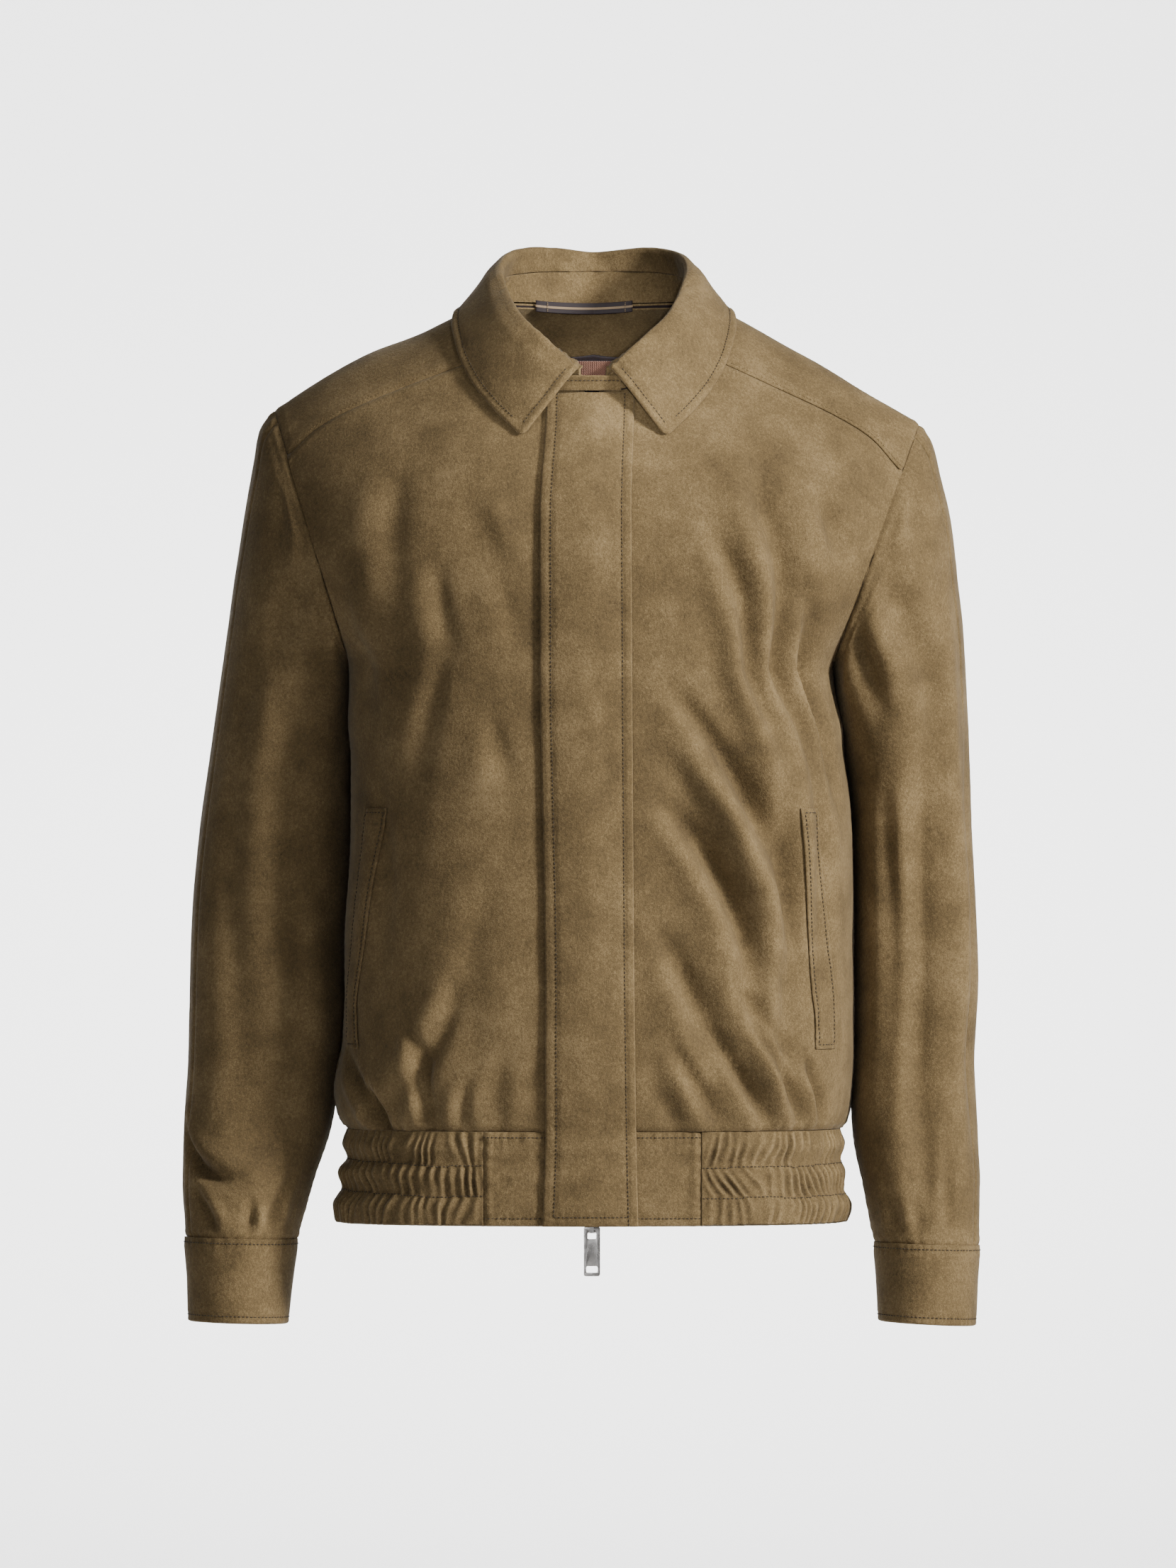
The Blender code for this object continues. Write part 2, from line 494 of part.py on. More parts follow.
def join(panel_a, name_a, cells_a, panel_b, name_b, cells_b):
    """Lets two panels share the inner edge of their seam, as a mitre where it turns over a ridge."""
    at_a = tuple(index[cells_a] for index in panel_a.edge(name_a))
    at_b = tuple(index[cells_b] for index in panel_b.edge(name_b))
    normal_a, normal_b = panel_a.normals[at_a], panel_b.normals[at_b]
    alike = np.sum(normal_a * normal_b, -1, keepdims=True)
    into_a, into_b = panel_a.into(name_a)[cells_a], panel_b.into(name_b)[cells_b]
    turn = np.sum(normal_b * into_a + normal_a * into_b, -1, keepdims=True)
    over_ridge = (alike > 0.9) | ((turn < 0.1) & (alike > -0.2))
    half_turn = np.sqrt(np.clip((1 + alike) / 2, 0.36, 1))
    mitre = -unit(normal_a + normal_b) / half_turn
    panel_a.inner[at_a] = np.where(over_ridge, mitre, -normal_a) * panel_a.wall
    panel_b.inner[at_b] = np.where(over_ridge, mitre, -normal_b) * panel_b.wall


def wall_mesh(panel, plain_step=0):
    """Vertices and faces of a closed wall. With plain_step the inside has only every so many columns."""
    rows, columns = panel.points.shape[:2]
    outer = panel.points
    inner = panel.points + panel.inner
    vertices = np.concatenate([outer.reshape(-1, 3), inner.reshape(-1, 3)]) * MM
    here = np.arange(rows * columns).reshape(rows, columns)
    there = here + rows * columns
    faces = []
    last = columns if panel.closed else columns - 1
    for r in range(rows - 1):
        for c in range(last):
            d = (c + 1) % columns
            faces.append((here[r, c], here[r, d], here[r + 1, d], here[r + 1, c]))
            if not plain_step:
                faces.append((there[r, c], there[r + 1, c], there[r + 1, d], there[r, d]))
    step = plain_step or 1
    for c in range(0, last, step):
        span = [k % columns for k in range(c, c + step + 1)]
        if plain_step:
            faces.append((there[0, span[0]], there[-1, span[0]], there[-1, span[-1]], there[0, span[-1]]))
        faces.append([here[0, k] for k in span[::-1]] + [there[0, span[0]], there[0, span[-1]]])
        faces.append([here[-1, k] for k in span] + [there[-1, span[-1]], there[-1, span[0]]])
    if not panel.closed:
        for c in (0, columns - 1):
            if plain_step:
                faces.append([here[r, c] for r in range(rows)] + [there[-1, c], there[0, c]])
            else:
                faces += [(here[r, c], here[r + 1, c], there[r + 1, c], there[r, c]) for r in range(rows - 1)]
    used = sorted({int(k) for face in faces for k in face})
    renumber = {old: new for new, old in enumerate(used)}
    return vertices[used], [[renumber[int(k)] for k in face] for face in faces]


# ---- Blender objects -----------------------------------------------------------------------------

def material(name):
    found = bpy.data.materials.get(name)
    if found:
        return found
    colour, roughness, metallic = MATERIALS[name]
    made = bpy.data.materials.new(name)
    made.use_nodes = True
    shader = made.node_tree.nodes["Principled BSDF"]
    shader.inputs["Base Color"].default_value = (*colour, 1.0)
    shader.inputs["Roughness"].default_value = roughness
    shader.inputs["Metallic"].default_value = metallic
    made.diffuse_color = (*colour, 1.0)
    return made


def link_object(name, mesh, material_name):
    made = bpy.data.objects.new(name, mesh)
    bpy.context.scene.collection.objects.link(made)
    mesh.materials.append(material(material_name))
    return made


def mesh_object(name, vertices, faces, material_name):
    mesh = bpy.data.meshes.new(name)
    mesh.from_pydata([tuple(v) for v in vertices], [], faces)
    shell = bmesh.new()
    shell.from_mesh(mesh)
    bmesh.ops.recalc_face_normals(shell, faces=shell.faces)
    shell.to_mesh(mesh)
    shell.free()
    return link_object(name, mesh, material_name)


def cloth(name, panel, material_name="suede", plain_step=0):
    return mesh_object(name, *wall_mesh(panel, plain_step), material_name)


def block(name, low, high, material_name, bevel=0.0):
    """A box between two corners, its edges bevelled."""
    low, high = Vector(low) * MM, Vector(high) * MM
    shell = bmesh.new()
    bmesh.ops.create_cube(shell, size=1.0)
    size = high - low
    bmesh.ops.transform(shell, matrix=Matrix.Diagonal((*size, 1.0)), verts=shell.verts)
    mesh = bpy.data.meshes.new(name)
    shell.to_mesh(mesh)
    shell.free()
    made = link_object(name, mesh, material_name)
    made.location = (low + high) / 2
    if bevel:
        edge = made.modifiers.new("edge", "BEVEL")
        edge.width, edge.segments = bevel * MM, 2
    return made


# ---- body ----------------------------------------------------------------------------------------

BODY_ROWS = 16
ROW_CROWDING = 0.45
NECK_SEGMENTS = 4
YOKE_SEGMENTS = 6
SLEEVE_ROWS = 13


def front_rim(side):
    """Top boundary of a front, from its middle edge to under the arm: x and z."""
    edge_x = abs(ZIP_X + side * FRONT_GAP)
    neck_x = np.linspace(edge_x, YOKE_X, NECK_SEGMENTS + 1)
    arms = arm_angles(side)[-ARM_SEGMENTS[3] - 1:]
    arm_x, arm_z, _ = armhole(side, arms)
    seam_x = np.linspace(YOKE_X, abs(arm_x[0]), YOKE_SEGMENTS + 1)
    column = "left" if side < 0 else "right"
    seam_z = smooth(seam_x, YOKE_FRONT["out"], YOKE_FRONT[column])
    seam_z = seam_z + (arm_z[0] - seam_z[-1]) * (seam_x - YOKE_X) / (seam_x[-1] - YOKE_X)
    x = np.concatenate([neck_x, seam_x[1:], np.abs(arm_x[1:])]) * side
    z = np.concatenate([smooth(neck_x, NECK_FRONT["out"], NECK_FRONT["z"]), seam_z[1:], arm_z[1:]])
    return x, z


def spread(marks, counts):
    """Evenly spaced values between marks, so many to each span."""
    spans = [np.linspace(a, b, n + 1)[:-1] for a, b, n in zip(marks, marks[1:], counts)]
    return np.concatenate(spans + [[marks[-1]]])


def rise_rows(rows):
    """Row positions from the waist up, closer together at both ends."""
    share = np.linspace(0, 1, rows + 1)
    return (share - ROW_CROWDING * np.sin(2 * math.pi * share) / (2 * math.pi))[:, None]


def body_panel(theta, z, **options):
    return Panel(body(theta, z), SUEDE, normals=normals_of(plain_body, theta, z, 0.002, 0.5), **options)


def front_panel(side):
    """A front; its columns keep their share of the way from the middle to the armhole or side seam."""
    x, z = front_rim(side)
    top = np.abs(theta_at(x, z, False)) / armhole_angle(side, z, False)
    top[-ARM_SEGMENTS[3] - 1:] = 1.0
    edge = abs(float(theta_at(ZIP_X + side * FRONT_GAP, WAIST_Z, False))) / (math.pi / 2)
    low = spread((edge, 0.34, 0.66, 1.0), (NECK_SEGMENTS, YOKE_SEGMENTS, ARM_SEGMENTS[3]))
    rise = rise_rows(BODY_ROWS)
    height = WAIST_Z * (1 - rise) + z * rise
    theta = side * (low * (1 - rise) + top * rise) * armhole_angle(side, height, False)
    return body_panel(theta, height)


def back_panel():
    """From the right side seam over the middle to the left one."""
    halves = []
    for side in (1, -1):
        arms = arm_angles(side)[:ARM_SEGMENTS[0] + 1]
        arm_x, arm_z, _ = armhole(side, arms)
        seam_x = np.linspace(abs(arm_x[-1]), 0, YOKE_SEGMENTS + 1)[1:]
        seam_z = YOKE_BACK_Z + (arm_z[-1] - YOKE_BACK_Z) * (seam_x / abs(arm_x[-1])) ** 2
        z = np.concatenate([arm_z, seam_z])
        from_middle = math.pi - np.abs(theta_at(side * seam_x, seam_z, True))
        top = np.concatenate([np.ones(len(arms)), from_middle / armhole_angle(side, seam_z, True)])
        low = spread((1.0, 0.66, 0.0), (ARM_SEGMENTS[0], YOKE_SEGMENTS))
        rise = rise_rows(BODY_ROWS)
        height = WAIST_Z * (1 - rise) + z * rise
        share = low * (1 - rise) + top * rise
        halves.append((math.pi - side * share * armhole_angle(side, height, True), height))
    theta, z = (np.concatenate([right, left[:, -2::-1]], 1) for right, left in zip(*halves))
    return body_panel(theta, z)


def yoke_rim():
    """The yoke's four boundaries in x and t: outer, neck, and its two front seams."""
    outer, neck, seams = [], [], []
    for side in (1, -1):
        arms = arm_angles(side)[ARM_SEGMENTS[0]:-ARM_SEGMENTS[3]][::-1]
        arm_x, arm_z, arm_back = armhole(side, arms)
        arm_t = shoulder_t(arm_x, arm_z, arm_back)
        arm_t[ARM_SEGMENTS[2]] = 0.0
        seam_x = side * np.linspace(abs(arm_x[-1]), 0, YOKE_SEGMENTS + 1)[1:]
        seam_z = YOKE_BACK_Z + (arm_z[-1] - YOKE_BACK_Z) * (seam_x / arm_x[-1]) ** 2
        seam_t = shoulder_t(seam_x, seam_z, True)
        outer.append(np.stack([np.concatenate([arm_x, seam_x]), np.concatenate([arm_t, seam_t])], -1))
        half = (len(arms) - 1) // 2
        neck.append(np.stack(neck_hole(side, spread((1, 2, 3), (half, half + YOKE_SEGMENTS))), -1))
        x, z = front_rim(side)
        part = slice(NECK_SEGMENTS, NECK_SEGMENTS + YOKE_SEGMENTS + 1)
        seams.append(np.stack([x[part], shoulder_t(x[part], z[part], False)], -1)[::-1])
    whole = [np.concatenate([pair[0], pair[1][-2::-1]]) for pair in (outer, neck)]
    return whole[0], whole[1], seams[0], seams[1]


def coons(south, north, west, east):
    """A patch between four boundary curves."""
    u = np.linspace(0, 1, len(south))[None, :, None]
    v = np.linspace(0, 1, len(west))[:, None, None]
    across = west[:, None] * (1 - u) + east[:, None] * u
    along = south[None] * (1 - v) + north[None] * v
    low, high = south[0] * (1 - u) + south[-1] * u, north[0] * (1 - u) + north[-1] * u
    corners = low * (1 - v) + high * v
    return across + along - corners


def yoke_panel():
    patch = coons(*yoke_rim())
    x, t = patch[..., 0], patch[..., 1]
    return Panel(shoulder(x, t), SUEDE, normals=normals_of(shoulder, x, t, 1.0, 0.01))


def sleeve_panel(side, psi, part):
    psi, part = np.broadcast_arrays(psi, part)

    def surface(psi, part):
        return sleeve_surface(side, psi, part)
    normals = normals_of(surface, psi, part, 0.02, 0.005)
    return Panel(surface(psi, part), SUEDE, flip=side < 0, normals=normals)


def sleeve_panels(side):
    """The back and the front part of a sleeve, and its whole first ring's angles."""
    arms = arm_angles(side)
    parts = np.linspace(0, 1, SLEEVE_ROWS + 1)[:, None]
    split = ARM_SEGMENTS[0] + ARM_SEGMENTS[1] + ARM_SEGMENTS[2] // 2
    return [sleeve_panel(side, span, parts) for span in (arms[:split + 1], arms[split:])]


def make_body():
    fronts = {side: front_panel(side) for side in (-1, 1)}
    back, yoke = back_panel(), yoke_panel()
    sleeves = {side: sleeve_panels(side) for side in (-1, 1)}
    arm, yoke_arm = ARM_SEGMENTS[0], ARM_SEGMENTS[1] + ARM_SEGMENTS[2]
    split = ARM_SEGMENTS[1] + ARM_SEGMENTS[2] // 2
    last = back.points.shape[1] - 1
    seam = slice(NECK_SEGMENTS, NECK_SEGMENTS + YOKE_SEGMENTS + 1)
    front_arm = slice(NECK_SEGMENTS + YOKE_SEGMENTS, None)
    for side, front in fronts.items():
        behind, ahead = sleeves[side]
        right = side > 0
        join(front, "east", slice(None), back, "west" if right else "east", slice(None))
        join(front, "north", seam, yoke, "west" if right else "east", slice(None, None, -1))
        join(front, "north", front_arm, ahead, "south", slice(ARM_SEGMENTS[2] // 2, None))
        back_arm = slice(0, arm + 1) if right else slice(last, last - arm - 1, -1)
        join(back, "north", back_arm, behind, "south", slice(0, arm + 1))
        tips = np.arange(yoke_arm, -1, -1) if right else np.arange(last - yoke_arm, last + 1)
        join(yoke, "south", tips[:split + 1], behind, "south", np.arange(arm, arm + split + 1))
        join(yoke, "south", tips[split:], ahead, "south", np.arange(0, yoke_arm - split + 1))
        join(behind, "east", slice(None), ahead, "west", slice(None))
        join(behind, "west", slice(None), ahead, "east", slice(None))
    across = np.arange(yoke_arm, last - yoke_arm + 1)
    join(back, "north", np.arange(arm, last - arm + 1), yoke, "south", across)
    for side, front in fronts.items():
        front.trim("north", "east", "south")
    back.trim("south", "north", "west", "east")
    yoke.trim("south", "west", "east")
    for side, name in SIDES:
        cloth("front_" + name, fronts[side])
        for panel, part in zip(sleeves[side], ("back", "front")):
            panel.trim("south", "north", "west", "east")
            cloth("sleeve_" + name + "_" + part, panel)
    cloth("back", back)
    cloth("yoke", yoke)
    return fronts


# ---- cuffs, waistband, collar --------------------------------------------------------------------

def make_cuff(side, name):
    rows = SLEEVE_LEFT if side < 0 else SLEEVE_RIGHT
    top = np.array([rows[key][-1] for key in rows])
    low = np.array(CUFF_BOTTOM[side])
    psi = np.linspace(0, 2 * math.pi, 25)[:-1]
    rings = []
    for share, lift in CUFF_LEVELS:
        out_x, out_z, in_x, in_z, mid_y, depth = top * (1 - share) + low * share
        along = (1 - np.cos(psi)) / 2
        x = side * (out_x + lift + (in_x - out_x - 2 * lift) * along)
        z = out_z + (in_z - out_z) * along - (SEAM / 2 if share == 0 else 0)
        rings.append(np.stack([x, mid_y - (depth + lift) * np.sin(psi), z], -1))
    cloth("cuff_" + name, Panel(rings, BAND, flip=side < 0, closed=True))


def make_waist_tabs():
    tabs = {}
    ends = {-1: (TAB_LEFT_X, ZIP_X - FRONT_GAP), 1: (ZIP_X + FRONT_GAP, TAB_RIGHT_X)}
    for side, name in SIDES:
        start, end = ends[side]
        z = np.linspace(HEM_Z, WAIST_Z, 7)[:, None]
        x = np.linspace(start, end, 5)[None, :]
        panel = Panel(plain_body(theta_at(x + 0 * z, z + 0 * x, False), z + 0 * x), BAND)
        panel.trim("north", "west" if name == "left" else "east")
        cloth("waist_tab_" + name, panel)
        tabs[side] = panel
    return tabs


def band_theta(around, z):
    """Angle at a distance round the waistband, whose front ends run straight down beside the tabs."""
    theta = theta_of_girth(np.where(around > GIRTH[-1], around - 2 * GIRTH[-1], around))
    for edge_x in (TAB_LEFT_X, TAB_RIGHT_X):
        at_top = theta_at(edge_x, WAIST_Z, False)
        near = np.clip(1 - np.abs(theta - at_top) / TAB_EASE, 0, 1)
        theta = theta + near * (theta_at(edge_x + 0 * z, z, False) - at_top)
    return theta


def make_elastic():
    """Gathered waistband from tab to tab, split at the side seams."""
    start = float(girth(theta_at(TAB_RIGHT_X, WAIST_Z, False)))
    end = float(girth(theta_at(TAB_LEFT_X, WAIST_Z, False))) + 2 * GIRTH[-1]
    side_seam = float(girth(math.pi / 2))
    marks = (start, side_seam, 2 * GIRTH[-1] - side_seam, end)
    for name, a, b in zip(("right", "back", "left"), marks, marks[1:]):
        count = round((b - a) / GATHER_PITCH)
        around = np.linspace(a, b, 4 * count + 1)[None, :]
        z = CHANNELS["z"][::-1, None]
        depth, shift, slant = (CHANNELS[key][::-1, None] for key in ("depth", "shift", "slant"))
        phase = 2 * math.pi * ((around - a) / (b - a) * count + np.round((shift + slant) * 4) / 4)
        uneven = 0.75 + 0.25 * np.sin(around / 31 + z / 9)
        lift = (GATHER_DEPTH * depth * np.sin(phase) * uneven)[..., None]
        theta = band_theta(around, z)
        panel = Panel(plain_body(theta, z + 0 * theta), BAND)
        panel.points = panel.points + panel.normals * lift
        panel.inner = -panel.normals * (BAND + lift)
        panel.trim("north", "west", "east")
        cloth("waist_elastic_" + name, panel, plain_step=4)


def collar_stations():
    """Neck seam, stand's top seam, roll and edge of the collar, from the left point round the back."""
    at = np.array(COLLAR_STATIONS)
    value = {name: smooth(at, COLLAR_ROWS["part"], COLLAR_ROWS[name]) for name in COLLAR_ROWS}
    halves = []
    for side in (-1, 1):
        neck = shoulder(*neck_hole(side, at))
        seam, roll = (np.stack([side * value[name + "_x"], value[name + "_y"], value[name + "_z"]], -1)
                      for name in ("seam", "roll"))
        edge_x, edge_t = side * value["edge_x"], value["edge_t"]
        outward = normals_of(shoulder, edge_x, edge_t, 1.0, 0.01)
        edge = shoulder(edge_x, edge_t) + outward * (EDGE_LIFT + COLLAR)
        halves.append([neck, seam, roll, edge])
    return [np.concatenate([left[:-1], right[::-1]]) for left, right in zip(*halves)]


def make_collar():
    neck, seam, roll, edge = collar_stations()
    up = unit(roll - seam)
    tangent = unit(np.gradient(roll, axis=0))
    out = unit(np.cross(up, tangent))
    up = unit(np.cross(tangent, out))
    share = np.linspace(0, 1, 4)[:, None, None]
    stand = Panel(neck * (1 - share) + seam * share, COLLAR)
    rows = []
    for of_seam, of_roll, of_edge, outward, upward in zip(*FALL_ROWS.values()):
        rows.append(seam * of_seam + roll * of_roll + edge * of_edge + out * outward + up * upward)
    fall = Panel(rows, COLLAR)
    join(stand, "north", slice(None), fall, "south", slice(None))
    stand.points[0] += unit(seam - neck) * STAND_LIFT
    stand.trim("north")
    fall.trim("south")
    cloth("collar_stand", stand)
    cloth("collar_fall", fall)


def make_collar_tab():
    """The stand's front end, which laps over the zip between the collar's points."""
    tab = COLLAR_TAB
    x = np.linspace(tab["left"], tab["right"], 8)[None, :]
    share = np.linspace(0, 1, 3)[:, None]
    y = (x - ZIP_X) ** 2 / tab["bend"] + tab["y"] - tab["lean"] * share
    points = np.stack([x + 0 * share, y, tab["low"] + tab["rise"] * share + 0 * x], -1)
    cloth("collar_tab", Panel(points, SUEDE))


def make_placket():
    z = np.concatenate([np.linspace(HEM_Z, WAIST_Z - 14, 4), np.linspace(WAIST_Z, PLACKET_TOP, 19)])[:, None]
    share, lift = PLACKET_LIFT["share"][None, :], PLACKET_LIFT["lift"][None, :]
    left, right = (smooth(z, PLACKET["z"], PLACKET[key]) for key in ("left", "right"))
    x = left + (right - left) * share
    points = np.stack([x, front_y(x, z + 0 * x) - lift - BAND, z + 0 * x], -1)
    cloth("placket", Panel(points, BAND))


def make_pocket(side, name):
    z = np.linspace(POCKET_LOW, POCKET_HIGH, 11)[:, None]
    inner_x = smooth(z, POCKET["z"], POCKET[name])
    start = girth(theta_at(inner_x, z, False))
    around = start + side * np.linspace(0, POCKET_WIDTH, 4)[None, :]
    theta = theta_of_girth(around)
    panel = Panel(body(theta, z + 0 * theta), THIN, flip=side < 0)
    panel.points = panel.points + panel.normals * (POCKET_LIFT + THIN)
    cloth("pocket_welt_" + name, panel)


# ---- inside the neck -----------------------------------------------------------------------------

def inside_neck(inner, outer, wall):
    """A piece against the inside of the yoke, between two rings given in x and t."""
    share = np.linspace(0, 1, 4)[:, None, None]
    x, t = np.moveaxis(outer * (1 - share) + inner * share, -1, 0)
    panel = Panel(shoulder(x, t), wall, normals=normals_of(shoulder, x, t, 1.0, 0.01))
    panel.points = panel.points - panel.normals * (SUEDE + INSIDE_GAP)
    return panel


def make_neck_inside():
    turn = np.linspace(-math.pi / 2, math.pi / 2, 13)
    neck_x = -NECK_X * np.sin(turn) * 1.02
    neck_t = shoulder_t(neck_x, smooth(np.abs(neck_x), NECK_BACK["out"], NECK_BACK["z"]) - 1.5, True)
    neck = np.stack([neck_x, neck_t], -1)
    facing, lining_low = (
        np.stack([-edge["out"] * np.sin(turn), edge["t"] + edge["drop"] * np.cos(turn) ** edge["round"]], -1)
        for edge in (FACING, LINING))
    upper, lower = inside_neck(neck, facing, THIN), inside_neck(facing, lining_low, THIN)
    join(upper, "south", slice(None), lower, "north", slice(None))
    upper.trim("south")
    lower.trim("north")
    cloth("neck_facing", upper)
    cloth("back_lining", lower, "lining")


def make_neck_rib():
    rib = NECK_RIB
    x = np.linspace(rib["left"], rib["right"], 9)[None, :]
    z = np.linspace(rib["low"], rib["high"], 3)[:, None]
    y = x ** 2 / rib["bend"] + rib["y"] - rib["lean"] * (z - rib["low"])
    points = np.stack([x + 0 * z, y, z + 0 * x], -1)
    cloth("neck_rib", Panel(points, THIN), "rib_knit")


def make_hanger():
    share = np.linspace(0, 1, 11)[None, :]
    level = np.linspace(0, 1, 3)[:, None]
    x = HANGER["left"] + (HANGER["right"] - HANGER["left"]) * share
    belly = np.sin(math.pi * share) ** 0.7
    seam_z = smooth(np.abs(x), NECK_BACK["out"], NECK_BACK["z"])
    behind = plain_body(theta_at(x, seam_z, True), seam_z)[..., 1] - HANGER["off"] - HANGER["slack"] * belly
    z = HANGER["bottom"] + (HANGER["top"] - HANGER["bottom"]) * level - HANGER["sag"] * belly
    points = np.stack([x + 0 * level, behind + 0 * level, z], -1)
    cloth("hanger_loop", Panel(points, TAPE), "woven_tape")


# ---- zip -----------------------------------------------------------------------------------------

def make_zip(fronts, tabs):
    """Tapes behind the edges of both fronts, made from their points, and the chain between them."""
    edges = []
    for name, side in (("left", -1), ("right", 1)):
        tab = tabs[side]
        columns = (-1, -2) if side < 0 else (0, 1)
        lower = [tab.points[:, k] for k in columns]
        upper = [fronts[side].points[:, k] for k in (0, 1)]
        edge, second = (np.concatenate([low, high]) for low, high in zip(lower, upper))
        share = (TAPE_WIDTH / np.abs(second[:, 0] - edge[:, 0]))[:, None]
        far = edge + (second - edge) * np.minimum(share, 0.95)
        deep = np.array([0, BAND + 0.4, 0])
        near = edge + np.array([side * 0.2, 0, 0])
        pair = (near + deep, far + deep)
        cloth("zip_tape_" + name, Panel(np.stack(pair[::side], 1), TAPE), "zip_cloth")
        edges.append(edge - np.array([side * 0.5, 0, 0]) + np.array([0, 1.6, 0]))
    chain = np.stack(edges, 1)
    above = chain[:, 0, 2] > SLIDER["top"] + 4
    chain = chain[above]
    chain[0, :, 2] = SLIDER["top"] + SEAM
    cloth("zip_chain", Panel(chain, 2.4), "zip_metal")


def make_slider():
    """A slider with a bridge in front, which the pull's pin bar passes behind."""
    middle_y = float(front_y(ZIP_X, SLIDER["top"])) + SLIDER["ahead"]
    face = middle_y - SLIDER["thick"] / 2
    half = SLIDER["width"] / 2
    slider = block("zip_slider", (ZIP_X - half, face, SLIDER["bottom"]),
                   (ZIP_X + half, face + SLIDER["thick"], SLIDER["top"]), "zip_metal", bevel=0.8)
    bar, inside = face - PULL["ahead"] - BRIDGE["ahead"], face + BRIDGE["sunk"]
    outline = [(inside, BRIDGE["top"]), (bar - BRIDGE["deep"], BRIDGE["top"]),
               (bar - BRIDGE["deep"], BRIDGE["bottom"]), (inside, BRIDGE["bottom"]),
               (inside, BRIDGE["over"]), (bar, BRIDGE["over"]),
               (bar, BRIDGE["under"]), (inside, BRIDGE["under"])]
    count = len(outline)
    edges = (-BRIDGE["wide"] / 2, BRIDGE["wide"] / 2)
    vertices = [Vector((ZIP_X + edge, y, z)) * MM for edge in edges for y, z in outline]
    faces = [tuple(range(count)), tuple(range(2 * count - 1, count - 1, -1))]
    faces += [(k, (k + 1) % count, count + (k + 1) % count, count + k) for k in range(count)]
    bridge = mesh_object("slider_bridge_form", vertices, faces, "zip_metal")
    union = slider.modifiers.new("bridge", "BOOLEAN")
    union.operation, union.object = "UNION", bridge
    bridge.hide_render, bridge.display_type = True, "WIRE"
    return face - PULL["ahead"]


def make_pull(pin_y):
    """The hanging pull: a plate with two windows, its origin on the pin."""
    half = PULL["width"] / 2
    xs = (-half, *PULL_ACROSS, half)
    zs = (PULL["above_pin"] - PULL["length"], *PULL_DOWN, -PULL["above_pin"], PULL["above_pin"])
    windows = {(2, 3), (1, 1), (2, 1), (3, 1)}
    shell = bmesh.new()
    grid = [[shell.verts.new((x * MM, 0, z * MM)) for x in xs] for z in zs]
    for r in range(len(zs) - 1):
        for c in range(len(xs) - 1):
            if (c, r) not in windows:
                shell.faces.new((grid[r][c], grid[r][c + 1], grid[r + 1][c + 1], grid[r + 1][c]))
    shell.normal_update()
    bmesh.ops.solidify(shell, geom=list(shell.faces), thickness=PULL["thick"] * MM)
    if shell.calc_volume(signed=True) < 0:
        bmesh.ops.reverse_faces(shell, faces=shell.faces)
    middle = sum((v.co for v in shell.verts), Vector()) / len(shell.verts)
    bmesh.ops.translate(shell, verts=shell.verts, vec=(0, -middle.y, 0))
    mesh = bpy.data.meshes.new("zip_pull")
    shell.to_mesh(mesh)
    shell.free()
    made = link_object("zip_pull", mesh, "zip_metal")
    made.location = Vector((ZIP_X, pin_y, PIN_Z)) * MM


def clear_scene():
    for thing in list(bpy.data.objects):
        bpy.data.objects.remove(thing, do_unlink=True)


def main():
    clear_scene()
    fronts = make_body()
    for side, name in SIDES:
        make_cuff(side, name)
        make_pocket(side, name)
    make_zip(fronts, make_waist_tabs())
    make_elastic()
    make_collar()
    make_collar_tab()
    make_placket()
    make_neck_inside()
    make_neck_rib()
    make_hanger()
    make_pull(make_slider())


main()
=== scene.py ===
"""Suede blouson jacket, filled out as if worn, with nobody in it: its cloth, stitching and finishes."""
import json
import math

import bmesh
import bpy
import numpy as np
from mathutils import Matrix, Vector


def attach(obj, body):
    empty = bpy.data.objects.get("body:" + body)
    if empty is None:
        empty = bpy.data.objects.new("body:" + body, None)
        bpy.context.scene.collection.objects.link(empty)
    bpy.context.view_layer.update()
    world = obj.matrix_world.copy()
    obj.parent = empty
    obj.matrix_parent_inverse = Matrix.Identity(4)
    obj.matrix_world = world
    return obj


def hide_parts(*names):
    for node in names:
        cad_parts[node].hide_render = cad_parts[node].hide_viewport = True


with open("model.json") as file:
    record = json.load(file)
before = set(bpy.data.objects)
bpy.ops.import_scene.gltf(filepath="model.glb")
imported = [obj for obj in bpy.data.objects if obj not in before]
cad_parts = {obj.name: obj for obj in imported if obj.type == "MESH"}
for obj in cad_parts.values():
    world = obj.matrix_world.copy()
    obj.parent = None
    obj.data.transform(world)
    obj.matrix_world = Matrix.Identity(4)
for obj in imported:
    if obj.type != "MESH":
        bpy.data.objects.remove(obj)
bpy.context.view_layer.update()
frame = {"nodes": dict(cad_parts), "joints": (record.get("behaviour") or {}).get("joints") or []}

MM = 0.001              # sizes below are in millimetres until a mesh is made
SIDES = ((-1, "left"), (1, "right"))

# ---- camera --------------------------------------------------------------------------------------

CAMERA_AT = (-0.00425, -10.0, -0.3295)
FRAME_HEIGHT = 1.106    # metres of the jacket's own plane that the photograph's height takes in
SENSOR = 36.0
NEAREST, FURTHEST = 0.1, 60.0


def added(name, data):
    """A new object in the scene."""
    made = bpy.data.objects.new(name, data)
    bpy.context.scene.collection.objects.link(made)
    return made


